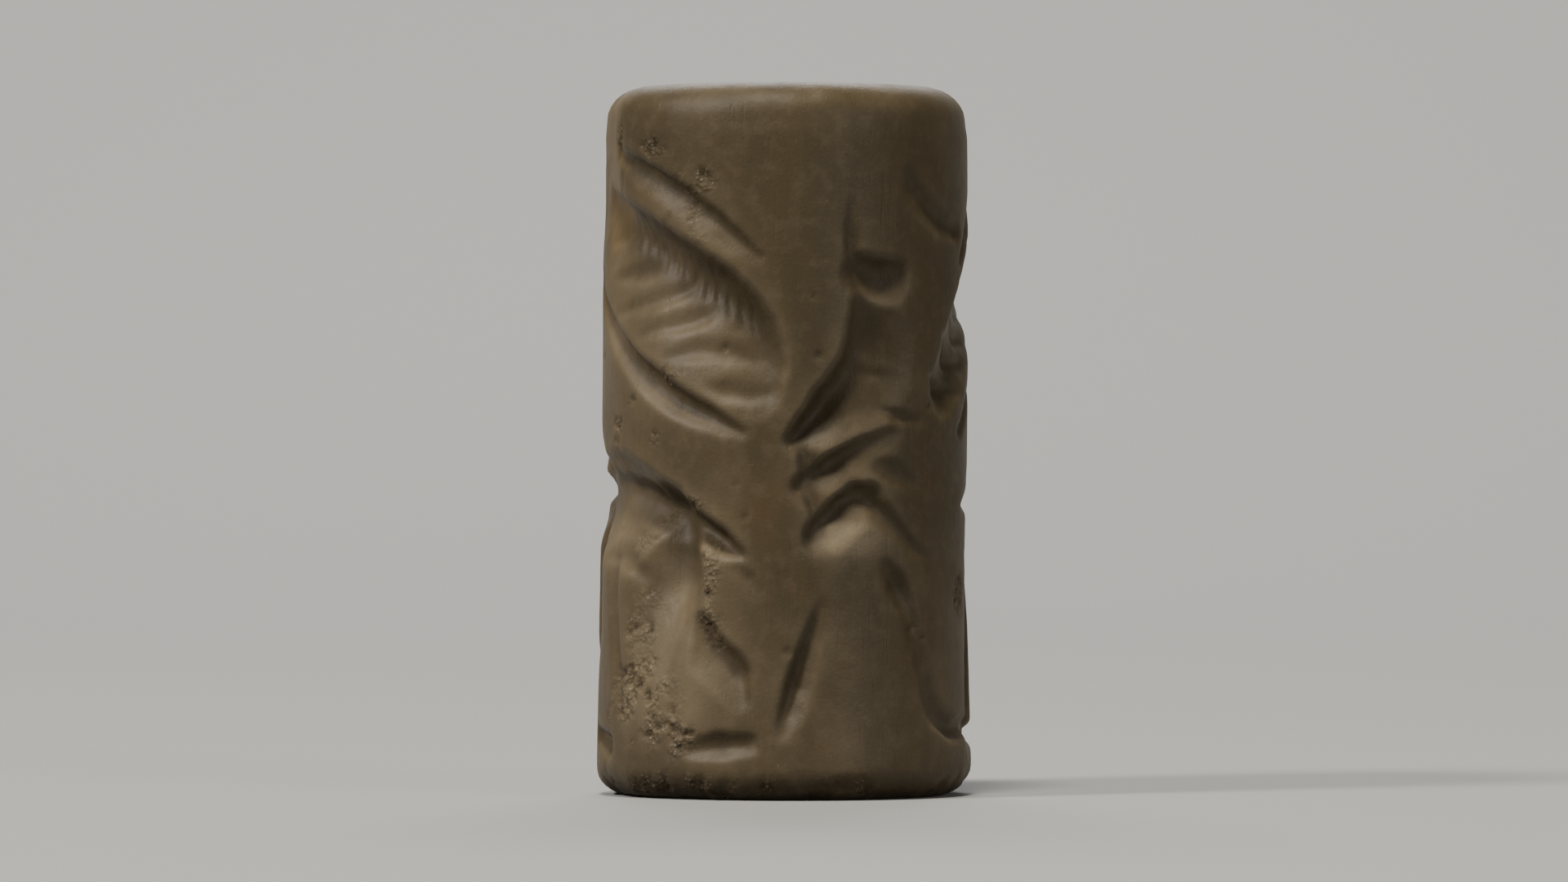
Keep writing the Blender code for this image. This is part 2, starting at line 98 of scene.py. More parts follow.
# %% [markdown]
# Unevenness of every kind comes from one helper: smooth noise whose patches have a given size.
# Random values sit on a coarse lattice, and the grid reads between them. The lattice has a whole
# number of cells round the seal, so the noise meets itself at the seam. Each call has its own
# seed, and the seal comes out the same every time.

# %% Smooth noise on the sheet
def mottle(cell, seed, stretch=1.0):
    """Noise between -1 and 1 in patches about cell millimetres wide and stretch times as high."""
    cells_round = max(3, round(SHEET_LENGTH / cell))
    tall = cell * stretch
    lattice = numpy.random.default_rng(seed).uniform(-1, 1, (int(SHEET_HEIGHT / tall) + 3, cells_round))
    column = across / SHEET_LENGTH * cells_round
    row = up / tall
    c, r = numpy.floor(column).astype(int), numpy.floor(row).astype(int)
    side, rise = column - c, (row - r)[:, None]
    side, rise = side * side * (3 - 2 * side), rise * rise * (3 - 2 * rise)
    low = lattice[r][:, c % cells_round] * (1 - side) + lattice[r][:, (c + 1) % cells_round] * side
    high = lattice[r + 1][:, c % cells_round] * (1 - side) + lattice[r + 1][:, (c + 1) % cells_round] * side
    return low * (1 - rise) + high * rise


HAND_DRIFT = 0.045
SLOW_DRIFT = 1.6
QUICK_DRIFT = 0.5

drift_across = HAND_DRIFT * (mottle(SLOW_DRIFT, 1) + 0.5 * mottle(QUICK_DRIFT, 2))
drift_up = HAND_DRIFT * (mottle(SLOW_DRIFT, 3) + 0.5 * mottle(QUICK_DRIFT, 4))
print(f"Lines wander by up to {numpy.abs(drift_across).max():.2f} mm")

# %% [markdown]
# ## The cuts
#
# The seal cutter has two ways to take stone away. A rounded drill or file hollows out a body, a
# limb or a leaf, and a graver adds fine lines, also on the floor of a hollow. Either one follows
# a smooth curve, which is drawn here through a few places along it. A cut's width and depth are
# given at even steps along the curve, and everything between them is filled in.
#
# Solid cutters and a Boolean could do the same, but hundreds of them are slow and leave edges as
# sharp as glass. A depth that is worked out place by place is quick, and it can be softened.

# %% Smooth curves through a few places
def short_way(distance):
    """The sheet's two ends meet, so a distance across is taken the short way round."""
    return (distance + SHEET_LENGTH / 2) % SHEET_LENGTH - SHEET_LENGTH / 2


def curve_through(points, steps=8):
    """A smooth curve through the points, as a list of short straight steps."""
    p = [numpy.array(point, float) for point in points]
    p = [2 * p[0] - p[1], *p, 2 * p[-1] - p[-2]]
    path = []
    for before, start, end, after in zip(p, p[1:], p[2:], p[3:]):
        for t in numpy.arange(steps) / steps:
            bend = (2 * before - 5 * start + 4 * end - after) * t * t
            twist = (3 * start - before - 3 * end + after) * t ** 3
            path.append(start + ((end - before) * t + bend + twist) / 2)
    return [*path, p[-2]]


def spread(values, count):
    """The values spread evenly over the steps of a curve."""
    return numpy.interp(numpy.linspace(0, 1, count), numpy.linspace(0, 1, len(values)), values)


trial_curve = curve_through([(0, 0), (2, 2), (4, 0)])
print(f"A curve through 3 places has {len(trial_curve)} points")

# %% [markdown]
# A stroke is a row of short straight segments along such a curve. Where two hollows meet, the
# deeper one counts, and lines are added on top. A stroke may lean, which makes one bank long and
# gentle and the other short and steep, as a slanted tool leaves it. A positive lean widens the
# bank on the left of the way the stroke runs. The gentle bank rises from a crease at the bottom
# and fades into the wall, so it catches the light over its whole width: `CREASE` is how sharp
# that bottom is, and `FADE` how thin the bank runs out.

# %% Strokes on the sheet
FADE = 1.0
CREASE = 1.2
TINY = 1e-6


class Sheet:
    """The rolled-out wall. Each layer holds how deep a place is cut, as a share of the full depth."""

    def __init__(self):
        self.x = across[None, :] + drift_across
        self.y = up[:, None] + drift_up
        self.forms, self.lines, self.chips = (numpy.zeros_like(self.x) for _ in range(3))

    def form(self, points, widths, depths, lean=0.0):
        """Hollows out a rounded body or limb."""
        self.stroke(self.forms, points, widths, depths, lean)

    def line(self, points, widths, depths, lean=0.0):
        """Cuts a fine groove."""
        self.stroke(self.lines, points, widths, depths, lean)

    def chip(self, points, widths, depths):
        """Breaks stone away."""
        self.stroke(self.chips, points, widths, depths, 0.0)

    def stroke(self, layer, points, widths, depths, lean):
        """Cuts one segment after the other along the curve."""
        path = curve_through(points)
        half_widths, floors = spread(widths, len(path)), spread(depths, len(path))
        for k in range(len(path) - 1):
            self.segment(layer, path[k:k + 2], half_widths[k:k + 2], floors[k:k + 2], lean)

    def segment(self, layer, ends, half_widths, floors, lean):
        """Cuts a straight piece of a groove into a layer, in the columns and rows that it reaches."""
        (x0, y0), (x1, y1) = ends
        reach = max(half_widths) * (1 + abs(lean)) + 2 * HAND_DRIFT
        first, last = numpy.searchsorted(up, (min(y0, y1) - reach, max(y0, y1) + reach))
        middle = (x0 + x1) / 2
        columns = numpy.nonzero(abs(short_way(across - middle)) <= abs(x1 - x0) / 2 + reach)[0]
        if last == first or not len(columns):
            return
        here = numpy.ix_(range(first, last), columns)
        x = short_way(self.x[here] - middle) + middle - x0
        y = self.y[here] - y0
        length = max(math.hypot(x1 - x0, y1 - y0), TINY)
        along = numpy.clip((x * (x1 - x0) + y * (y1 - y0)) / length ** 2, 0, 1)
        away = numpy.hypot(x - along * (x1 - x0), y - along * (y1 - y0))
        to_left = ((x1 - x0) * y - (y1 - y0) * x) / length / numpy.maximum(away, TINY)
        gentle = numpy.clip(lean * to_left, 0, None)
        half_width = (half_widths[0] + (half_widths[1] - half_widths[0]) * along) * (1 + lean * to_left)
        floor = floors[0] + (floors[1] - floors[0]) * along
        bank = numpy.clip(1 - (away / half_width) ** (2 - CREASE * gentle), 0, None)
        cut = floor * bank ** (1 + FADE * gentle)
        layer[here] = numpy.maximum(layer[here], cut)


sheet = Sheet()
print(f"The sheet has {sheet.forms.size} places, and none of them is cut yet")

# %% [markdown]
# ## The left frond
#
# The largest figure on the front is a palm frond that arches up to the left. It is a hollow leaf
# between two outline grooves. Its upper bank is steep and its lower one gentle, which is what the
# lean is for. Short strokes notch the steep bank. They follow a rule, an even step from the tip
# to the stem, so a loop draws them. The long ridges that part the leaflets below each bend in
# their own way, so they are listed.

# %% Cut the left frond
def left_frond(sheet):
    """The hollow leaf, its two outlines and its leaflets."""
    deepest = [(-0.6, 12.9), (-0.85, 13.95), (-1.5, 14.9), (-2.5, 15.7), (-3.5, 16.3),
               (-4.6, 16.9), (-5.6, 17.45), (-6.6, 17.95), (-7.6, 18.3)]
    sheet.form(deepest, (1.15, 1.6, 1.9, 2.05, 2.05, 2.0, 1.75, 1.4, 1.0),
               (0.5, 0.9, 1.25, 1.4, 1.4, 1.3, 1.1, 0.8, 0.4), lean=0.6)
    sheet.line([(-0.8, 16.55), (-1.6, 17.2), (-2.35, 17.85), (-3.45, 18.55), (-4.9, 19.25), (-6.3, 19.8)],
               (0.25, 0.4, 0.5, 0.52, 0.46, 0.3), (0.15, 0.36, 0.45, 0.5, 0.5, 0.25), lean=0.5)
    sheet.line([(-1.3, 11.2), (-2.6, 11.8), (-3.8, 12.35), (-4.75, 12.9), (-5.8, 13.55), (-7.2, 14.6),
                (-9.0, 16.2)],
               (0.2, 0.42, 0.5, 0.5, 0.46, 0.4, 0.25), (0.2, 0.55, 0.7, 0.7, 0.62, 0.5, 0.25), lean=0.12)
    upright = 12
    for k in range(upright):
        along = k / (upright - 1)
        foot = (-6.0 + 5.1 * along, 16.95 - 2.7 * along)
        sheet.line([(foot[0] - 0.25, foot[1] + 1.25), (foot[0] - 0.1, foot[1] + 0.5), foot],
                   (0.1, 0.2, 0.14), (0.02, 0.3, 0.1), lean=-0.3)
    ridges = [
        [(-7.6, 17.1), (-6.7, 17.3), (-5.9, 17.35)],
        [(-6.9, 15.9), (-5.6, 16.0), (-4.6, 16.4)],
        [(-6.5, 14.85), (-5.2, 15.1), (-4.1, 15.35), (-3.4, 15.75), (-3.1, 16.3)],
        [(-5.2, 14.15), (-3.9, 14.4), (-2.9, 14.6), (-1.9, 15.1)],
        [(-4.0, 13.45), (-2.9, 13.6), (-1.8, 13.5), (-0.9, 13.3)],
        [(-2.5, 12.6), (-1.8, 12.35), (-1.1, 12.25), (-0.4, 12.3)],
    ]
    for ridge in ridges:
        sheet.line(ridge, (0.2, 0.42, 0.42, 0.2), (0.06, 0.26, 0.24, 0.06), lean=0.45)
    return upright + len(ridges)


print(f"The left frond has {left_frond(sheet)} leaflet strokes")

# %% [markdown]
# ## The right frond
#
# Its partner arches to the right, round to the back of the seal. Each leaflet here is one curved
# stroke across the leaf, from the crown side to the lower outline.

# %% Cut the right frond
def beside(foot, tip, along, out):
    """A point beside the line from foot to tip: a share along it, and some way out to its left."""
    dx, dy = tip[0] - foot[0], tip[1] - foot[1]
    length = math.hypot(dx, dy)
    return (foot[0] + dx * along - dy / length * out, foot[1] + dy * along + dx / length * out)


def right_frond(sheet):
    """The leaf, its outlines and its leaflets, all placed along the line from foot to tip."""
    foot, tip = (5.6, 12.2), (14.2, 18.8)

    def at(along, out):
        return beside(foot, tip, along, out)

    leaf = [at(0.05, 0.0), at(0.35, 0.5), at(0.7, 0.5), at(0.98, 0.0)]
    sheet.form(leaf, (0.9, 1.5, 1.6, 0.8), (0.5, 0.8, 0.8, 0.4))
    outline = [at(0.36, 2.4), at(0.55, 2.75), at(0.8, 2.5), at(1.07, 0.7)]
    sheet.line(outline, (0.15, 0.32, 0.32, 0.2), (0.2, 0.5, 0.5, 0.25))
    lower_outline = [at(0.06, -1.7), at(0.4, -1.65), at(0.75, -1.25), at(1.03, -1.05)]
    sheet.line(lower_outline, (0.2, 0.3, 0.3, 0.2), (0.25, 0.45, 0.45, 0.25))
    leaflets = 8
    for k in range(leaflets):
        along = 0.02 + 0.12 * k
        crown = 1.1 + 0.5 * math.sin(math.pi * k / (leaflets - 1))
        sheet.line([at(along, crown), at(along + 0.02, 0.1), at(along + 0.14, -1.0)],
                   (0.15, 0.32, 0.15), (0.12, 0.4, 0.12))
    return leaflets


print(f"The right frond has {right_frond(sheet)} leaflets")

# %% [markdown]
# ## The palm tree
#
# Between the fronds stands the tree itself: a bud with a spike and a drop, a stem, a skirt of old
# leaves that droops in tiers, and a trunk that spreads towards the ground line. The skirt's tiers
# are the boldest cuts on this side, two strokes that meet at a point like a roof.

# %% Cut the palm tree
def palm_tree(sheet):
    """The bud, the stem, the tiers of the skirt and the trunk."""
    # The bud's spike and its drop
    sheet.form([(2.15, 16.3), (2.08, 17.0), (2.05, 17.6), (2.1, 18.3)],
               (0.3, 0.28, 0.22, 0.1), (0.34, 0.24, 0.16, 0.05), lean=-0.4)
    sheet.form([(2.35, 16.4), (2.7, 16.15), (3.1, 16.05), (3.5, 16.15), (3.9, 16.4)],
               (0.35, 0.78, 0.9, 0.62, 0.2), (0.3, 0.7, 0.85, 0.6, 0.15), lean=-0.45)
    # The stem bends out to the left and becomes the skirt's first tier.
    sheet.form([(2.45, 15.2), (2.55, 14.3), (2.45, 13.5), (2.0, 12.75), (1.35, 12.1), (0.75, 11.5),
                (0.3, 11.1)],
               (0.6, 1.1, 1.4, 1.35, 1.05, 0.75, 0.45), (0.3, 0.85, 1.15, 1.25, 1.15, 0.95, 0.5), lean=0.5)
    sheet.line([(2.4, 13.05), (3.2, 12.95), (3.9, 12.9)], (0.12, 0.24, 0.1), (0.06, 0.16, 0.05))
    sheet.line([(3.1, 11.95), (3.8, 11.7), (4.7, 11.55)], (0.12, 0.24, 0.12), (0.1, 0.28, 0.1))
    # The second and the third tier each have a long left side and a short right one.
    sheet.form([(0.6, 9.65), (1.0, 9.9), (1.6, 10.3), (2.4, 10.8), (3.2, 11.15), (3.8, 11.3)],
               (0.5, 0.74, 0.8, 0.7, 0.5, 0.25), (0.4, 0.65, 0.7, 0.5, 0.24, 0.05), lean=-0.55)
    sheet.form([(2.9, 10.3), (3.7, 9.95), (4.6, 9.5)], (0.4, 0.45, 0.15), (0.2, 0.22, 0.08))
    sheet.form([(0.85, 8.1), (1.1, 8.4), (1.6, 8.8), (2.1, 9.15), (2.5, 9.3)],
               (0.48, 0.7, 0.76, 0.74, 0.66), (0.5, 0.74, 0.84, 0.8, 0.72), lean=-0.55)
    sheet.form([(2.5, 9.3), (3.0, 9.0), (3.6, 8.45), (4.3, 7.8), (5.0, 7.35)],
               (0.66, 0.56, 0.44, 0.3, 0.12), (0.72, 0.58, 0.4, 0.28, 0.1), lean=-0.5)
    # The tiers start from one shallow upright cut.
    sheet.form([(0.5, 10.9), (0.72, 10.2), (0.85, 9.4), (1.0, 8.6)],
               (0.4, 0.7, 0.7, 0.5), (0.3, 0.42, 0.42, 0.35), lean=0.6)
    # The trunk is a shallow wedge between two lines that spread to the ground.
    sheet.form([(2.8, 8.0), (2.85, 5.8), (2.9, 3.5)], (0.8, 1.6, 2.3), (0.08, 0.16, 0.18))
    sheet.line([(1.1, 6.0), (0.85, 5.2), (0.55, 4.3), (0.33, 3.5), (0.13, 2.8), (-0.1, 2.05)],
               (0.16, 0.36, 0.44, 0.47, 0.42, 0.25), (0.08, 0.3, 0.52, 0.58, 0.5, 0.2), lean=0.4)
    sheet.line([(3.3, 7.2), (3.75, 6.5), (4.2, 5.7), (4.5, 4.7), (4.8, 3.6), (5.2, 2.6)],
               (0.16, 0.42, 0.32, 0.3, 0.34, 0.42), (0.15, 0.5, 0.28, 0.2, 0.22, 0.5))
    sheet.line([(5.2, 2.55), (6.2, 2.15), (7.5, 2.15)], (0.38, 0.42, 0.3), (0.5, 0.65, 0.45))
    # The first stretch of the right frond's upper outline
    sheet.line([(4.25, 19.2), (4.5, 18.65), (5.0, 18.2), (5.8, 17.8), (6.8, 17.5)],
               (0.22, 0.42, 0.52, 0.55, 0.35), (0.1, 0.32, 0.36, 0.38, 0.3), lean=-0.3)


palm_tree(sheet)
print(f"The skirt is cut {sheet.forms[:, across < 5].max():.2f} of the full depth")

# %% [markdown]
# ## The animals
#
# Both animals are built as a seal cutter builds them. A long rounded hollow makes the body, and
# narrower ones run out of it for the neck, the legs and the tail. A leg ends in a short, level
# hoof. The climber, left of the tree, looks back over its shoulder with its forelegs raised.

# %% Cut the climber
def leg(sheet, joints, widths, depths, hoof):
    """A leg through its joints, with a short hoof."""
    sheet.form(joints, widths, depths)
    sheet.form(hoof, (0.4, 0.26), (0.75, 0.45))


def climber(sheet):
    """The climbing animal, and a plant before it."""
    # Body, back line, belly line and haunch
    sheet.form([(-3.6, 8.2), (-4.3, 8.6), (-5.3, 8.95), (-6.6, 9.2), (-8.0, 9.35), (-9.3, 9.5)],
               (1.1, 1.5, 1.7, 1.6, 1.4, 1.15), (0.95, 1.2, 1.25, 1.15, 1.0, 0.9), lean=0.5)
    sheet.line([(-7.4, 10.1), (-6.1, 9.85), (-4.9, 9.35), (-3.8, 8.8), (-2.8, 8.3), (-1.9, 7.85),
                (-1.2, 7.4)],
               (0.6, 0.95, 1.0, 0.85, 0.58, 0.4, 0.14), (0.25, 0.7, 0.8, 0.7, 0.5, 0.38, 0.1), lean=-0.15)
    sheet.line([(-7.4, 7.3), (-6.5, 7.35), (-5.7, 7.1), (-5.1, 6.7)],
               (0.2, 0.4, 0.4, 0.2), (0.08, 0.26, 0.26, 0.06), lean=0.4)
    sheet.form([(-3.9, 8.5), (-3.7, 7.6), (-3.7, 6.8), (-3.8, 5.8), (-3.9, 4.8)],
               (1.3, 1.5, 1.75, 1.9, 1.6), (1.2, 1.45, 1.35, 0.6, 0.05), lean=-0.3)
    # Hind leg, hoof and tail
    sheet.form([(-2.65, 5.35), (-2.15, 4.6), (-1.55, 4.0), (-1.3, 3.2)],
               (0.6, 0.75, 0.75, 0.5), (0.55, 0.75, 0.7, 0.25), lean=-0.4)
    sheet.form([(-1.1, 1.75), (-2.0, 1.7), (-3.0, 1.55)], (0.35, 0.45, 0.3), (0.3, 0.5, 0.2))
    sheet.form([(-3.4, 8.55), (-2.6, 8.25), (-1.95, 7.9), (-1.35, 7.5)],
               (0.6, 0.5, 0.42, 0.18), (0.85, 0.85, 0.7, 0.2), lean=-0.2)
    sheet.line([(-1.5, 7.1), (-1.1, 6.75), (-0.75, 6.3)], (0.2, 0.24, 0.12), (0.1, 0.16, 0.05))
    # Neck, head, ear and horn
    sheet.form([(-8.6, 9.8), (-9.8, 11.1), (-11.2, 12.5), (-12.2, 13.6)],
               (1.2, 0.8, 0.62, 0.45), (0.9, 0.8, 0.75, 0.65))
    sheet.form([(-12.1, 13.5), (-12.3, 14.9), (-12.85, 16.2), (-13.5, 17.1), (-14.1, 17.6)],
               (0.5, 0.6, 0.4, 0.5, 0.38), (0.65, 0.7, 0.6, 0.75, 0.5))
    sheet.form([(-13.5, 17.3), (-13.8, 18.5)], (0.42, 0.2), (0.6, 0.25))
    sheet.line([(-13.2, 17.6), (-12.4, 18.7)], (0.3, 0.24), (0.25, 0.35))
    # Raised forelegs
    sheet.form([(-8.6, 8.6), (-10.2, 9.45), (-11.3, 9.3), (-12.4, 8.4)],
               (0.6, 0.5, 0.42, 0.15), (0.75, 0.75, 0.55, 0.15))
    sheet.form([(-11.0, 9.5), (-12.0, 10.2), (-13.1, 11.0)], (0.42, 0.32, 0.15), (0.6, 0.5, 0.2))
    sheet.line([(-14.9, 9.8), (-14.2, 9.1), (-13.9, 8.2)], (0.3, 0.32, 0.2), (0.25, 0.3, 0.12))
    # The other hind leg, and a plant before it
    leg(sheet, [(-6.8, 7.2), (-6.5, 5.0), (-6.3, 3.8), (-6.1, 2.7)],
        (0.45, 0.36, 0.36, 0.25), (0.35, 0.28, 0.3, 0.15), [(-7.0, 1.6), (-8.4, 1.85)])
    sheet.form([(-8.6, 8.4), (-8.5, 6.6), (-8.4, 5.2)], (0.6, 0.5, 0.42), (0.65, 0.5, 0.45))
    sheet.form([(-8.5, 4.8), (-9.4, 3.6), (-10.4, 2.95), (-11.2, 2.85)],
               (0.4, 0.6, 0.6, 0.35), (0.4, 0.75, 0.8, 0.55))


climber(sheet)
print(f"{(sheet.forms > 0.05).mean():.0%} of the wall is hollowed out so far")

# %% [markdown]
# The grazer fills the back. It stands facing the climber, over a curled horn at its feet. Above
# its back an arm reaches in, with its fingers spread like the ribs of a fan, and a round knob
# beside it. The fingers are one stroke, turned about the palm by equal steps.

# %% Cut the grazer and the hand
def grazer(sheet):
    """The grazing animal, and the curled horn at its feet."""
    # Body, shoulder and breast, and tail
    sheet.form([(10.0, 9.9), (11.8, 9.8), (14.2, 9.9), (16.0, 9.9)],
               (1.1, 1.6, 1.7, 1.7), (0.65, 0.9, 0.95, 0.95))
    sheet.form([(15.6, 10.3), (17.0, 9.9), (18.2, 9.4)], (1.5, 1.2, 0.7), (0.95, 0.9, 0.65))
    sheet.form([(15.8, 9.3), (15.6, 7.9), (14.9, 6.6)], (1.6, 1.3, 0.8), (0.85, 0.7, 0.4))
    sheet.form([(9.4, 9.0), (8.5, 9.05), (7.5, 8.9)], (0.45, 0.36, 0.15), (0.55, 0.45, 0.12))
    # The legs, of which the last is stretched forward
    leg(sheet, [(9.4, 9.3), (8.8, 7.2), (8.3, 5.2), (7.95, 3.6), (8.0, 2.3)],
        (1.0, 0.9, 0.55, 0.4, 0.4), (0.75, 0.65, 0.55, 0.5, 0.5), [(7.9, 1.85), (10.1, 1.85)])
    leg(sheet, [(11.3, 8.2), (11.15, 5.6), (11.3, 2.8)],
        (0.7, 0.6, 0.5), (0.5, 0.5, 0.6), [(11.3, 2.2), (12.7, 1.6)])
    leg(sheet, [(14.4, 6.4), (14.2, 4.4), (14.1, 2.8)],
        (0.55, 0.42, 0.42), (0.5, 0.5, 0.5), [(14.2, 2.3), (14.8, 1.7)])
    leg(sheet, [(18.0, 9.7), (19.6, 8.1), (21.1, 6.85), (21.75, 5.8), (21.95, 4.5), (22.2, 3.3)],
        (0.65, 0.5, 0.5, 0.4, 0.38, 0.4), (0.85, 0.75, 0.75, 0.6, 0.5, 0.6), [(22.2, 3.1), (24.2, 1.6)])
    # The curled horn
    sheet.form([(15.4, 4.8), (16.3, 3.9), (17.1, 3.1), (18.3, 2.9), (19.5, 3.2), (19.7, 4.6), (18.1, 6.0)],
               (0.35, 0.55, 0.58, 0.5, 0.5, 0.5, 0.35), (0.6, 0.8, 0.8, 0.75, 0.75, 0.8, 0.5))


def hand(sheet):
    """The arm with its spread fingers, and the knob above it."""
    palm = (18.6, 15.9)
    # Arm and fingers
    sheet.form([(14.3, 15.7), (15.6, 16.05), (17.0, 15.9), palm],
               (0.35, 0.5, 0.6, 0.8), (0.55, 0.75, 0.8, 0.8))
    fingers = 5
    for k in range(fingers):
        swing = math.radians(20 - 17 * k)
        reach = 3.2 - 0.1 * k
        tip = (palm[0] + reach * math.cos(swing), palm[1] + reach * math.sin(swing))
        sheet.form([palm, tip], (0.7, 0.22), (0.75, 0.35))
    # A spur under the arm, the knob and its stalk, and two scratches
    sheet.form([(14.9, 15.5), (15.4, 14.8)], (0.35, 0.25), (0.55, 0.4))
    sheet.form([(18.4, 19.0), (18.7, 19.05)], (0.75, 0.7), (0.8, 0.75))
    sheet.form([(17.95, 18.5), (17.4, 17.2)], (0.3, 0.4), (0.4, 0.55))
    sheet.line([(13.9, 15.0), (13.85, 13.6), (14.6, 12.7), (15.5, 12.1)],
               (0.25, 0.3, 0.3, 0.15), (0.15, 0.2, 0.2, 0.1))
    sheet.line([(16.3, 13.1), (17.3, 13.3)], (0.22, 0.15), (0.3, 0.15))


grazer(sheet)
hand(sheet)
print(f"{(sheet.forms > 0.05).mean():.0%} of the wall is hollowed out")

# %% [markdown]
# ## Chips and crumbling places
#
# The head's rim has lost two flakes. In a few patches the stone has crumbled, which leaves small
# pits with grains standing between them. A patch is a soft oval: its place and half sizes are
# listed, across and up, and noise breaks up its edge. Wider ovals tell where the skin of the
# stone is pale and where it is dark. The pale ones are partly weathering and partly painted
# light, with painted highlights on banks that face up. The dark ones are partly handling and
# partly painted shade. All of these places are read off the worn stone, because wear follows no
# rule.

# %% Break the rim and mark the crumbling places
def rim_chips(sheet):
    """The two flakes that the head's rim has lost, and a hair-fine crack beside one of them."""
    sheet.chip([(-8.4, 21.3), (-8.2, 20.0), (-8.1, 18.4), (-8.0, 17.2)],
               (1.9, 2.1, 2.0, 1.5), (0.4, 0.65, 0.6, 0.2))
    sheet.line([(-6.15, 20.6), (-6.05, 19.0), (-6.1, 17.6)], (0.08, 0.14, 0.08), (0.1, 0.16, 0.05))
    sheet.chip([(15.3, 21.9), (15.5, 20.4), (15.3, 19.2)], (1.3, 1.1, 0.5), (0.35, 0.4, 0.15))


def oval(x, y, half_across, half_up):
    """1 in the middle of an oval on the sheet, falling to 0 at its edge."""
    out = numpy.hypot(short_way(sheet.x - x) / half_across, (sheet.y - y) / half_up)
    return numpy.clip(1.25 * (1 - out), 0, 1)


def broken_up(places, level, swing, cell, seed):
    """The places, broken up by noise with patches of a size."""
    return numpy.clip(places * (level + swing * mottle(cell, seed)), 0, 1)


CRUMBLING_PLACES = [
    (-4.4, 20.0, 0.7, 0.5), (-2.8, 18.9, 0.9, 0.6), (-6.5, 20.3, 0.6, 0.6), (-3.1, 17.5, 0.9, 0.9),
    (-4.2, 12.8, 1.3, 0.5), (-5.6, 12.4, 0.5, 0.4), (-6.6, 11.3, 0.6, 0.7), (-4.2, 11.0, 0.5, 0.3),
    (-2.9, 9.2, 1.0, 0.6), (-4.5, 8.7, 0.7, 0.7), (-2.35, 6.9, 0.42, 1.3), (-5.3, 7.8, 0.8, 0.5),
    (-5.0, 5.6, 1.0, 0.9), (-2.3, 5.2, 0.7, 0.9), (-4.9, 3.3, 2.0, 1.3), (-4.0, 1.9, 2.1, 0.8),
    (-6.2, 2.4, 0.9, 0.7), (15.4, 19.8, 1.2, 1.3), (11.0, 20.3, 1.3, 0.4), (12.5, 13.3, 0.7, 1.0),
    (12.7, 11.5, 1.4, 0.7), (12.8, 9.4, 1.2, 0.7), (12.5, 5.4, 0.8, 2.7), (-3.0, 0.4, 8.0, 0.45),
    (-9.6, 6.2, 0.8, 0.6), (-12.6, 11.6, 0.6, 0.5), (-11.2, 2.2, 1.1, 0.5), (-15.6, 13.2, 0.7, 0.6),
    (18.4, 11.6, 0.8, 0.6), (20.8, 9.2, 0.6, 0.9), (21.6, 17.8, 0.8, 0.5), (7.0, 6.2, 0.6, 0.9),
    (8.2, 17.2, 0.6, 0.4), (16.8, 2.0, 1.0, 0.5), (-2.3, 7.0, 0.5, 1.0), (-5.2, 4.9, 0.7, 1.2),
]
# The pale ovals are partly weathering and partly painted light: paler over the left of the front, where more
# light falls, and painted highlights on the haunch, the skirt's tiers and the bud.
WEATHERED_AND_LIT_PLACES = [
    (-5.0, 4.8, 4.6, 7.0), (-4.5, 14.5, 4.2, 4.5), (12.5, 9.0, 4.0, 9.0), (-3.8, 5.8, 1.1, 1.9),
    (2.2, 8.0, 2.1, 1.2), (2.0, 7.9, 1.5, 0.8), (3.1, 15.4, 0.9, 0.8), (-3.9, 2.9, 2.6, 1.8),
    (6.6, 4.5, 2.2, 4.5), (-15.0, 6.5, 2.4, 4.5), (20.2, 13.0, 2.2, 3.6), (-7.3, 10.0, 1.7, 9.0),
]
# The dark ovals are partly handling and partly painted shade.
HANDLED_AND_SHADED_PLACES = [
    (1.6, 19.2, 4.6, 3.4), (4.6, 16.5, 2.6, 4.0), (9.5, 4.0, 2.0, 3.5), (-11.5, 19.0, 3.5, 3.0),
]

rim_chips(sheet)
crumbling, pale, dark = (sum(oval(*place) for place in places)
                         for places in (CRUMBLING_PLACES, WEATHERED_AND_LIT_PLACES, HANDLED_AND_SHADED_PLACES))
crumbling = broken_up(crumbling, level=0.75, swing=1.8, cell=0.5, seed=11)
flaked = broken_up(sheet.chips, level=2.2, swing=2.0, cell=0.7, seed=13)
# Pale ovals, less dark ones, and noise: weathering and handling, with painted light and shade.
weathering_and_painted_light = numpy.clip(pale - dark + 0.35 * mottle(1.6, 12), -1, 2)
print(f"{(crumbling > 0.3).mean():.1%} of the wall has crumbled, and {(weathering_and_painted_light > 0.3).mean():.0%} is pale")

# %% [markdown]
# ## From cuts to depth
#
# The layers now become one depth for each place, in millimetres. Long use has softened every
# edge, so the cuts are blurred by less than a tenth of a millimetre. The barrel was ground by
# hand, so it is a little out of true: three slow waves run round it and up it.

# %% Blur the cuts and put the barrel out of true
CARVING_DEPTH = 0.6
CHIP_DEPTH = 0.5
UNEVENNESS = 0.05
WEAR = 0.09
BLUR_REACH = 2.5


def blurred(values, radius):
    """The values averaged over a radius in millimetres, round the seal and up it."""
    for axis, step in ((1, SHEET_LENGTH / COLUMNS), (0, SHEET_HEIGHT / WALL_ROWS)):
        reach = math.ceil(BLUR_REACH * radius / step)
        weights = numpy.exp(-0.5 * (numpy.arange(-reach, reach + 1) * step / radius) ** 2)
        mode = "wrap" if axis else "edge"
        padding = ((0, 0), (reach, reach)) if axis else ((reach, reach), (0, 0))
        padded = numpy.pad(values, padding, mode=mode)
        size = values.shape[axis]
        pieces = [weight * numpy.take(padded, range(k, k + size), axis) for k, weight in enumerate(weights)]
        values = sum(pieces) / weights.sum()
    return values


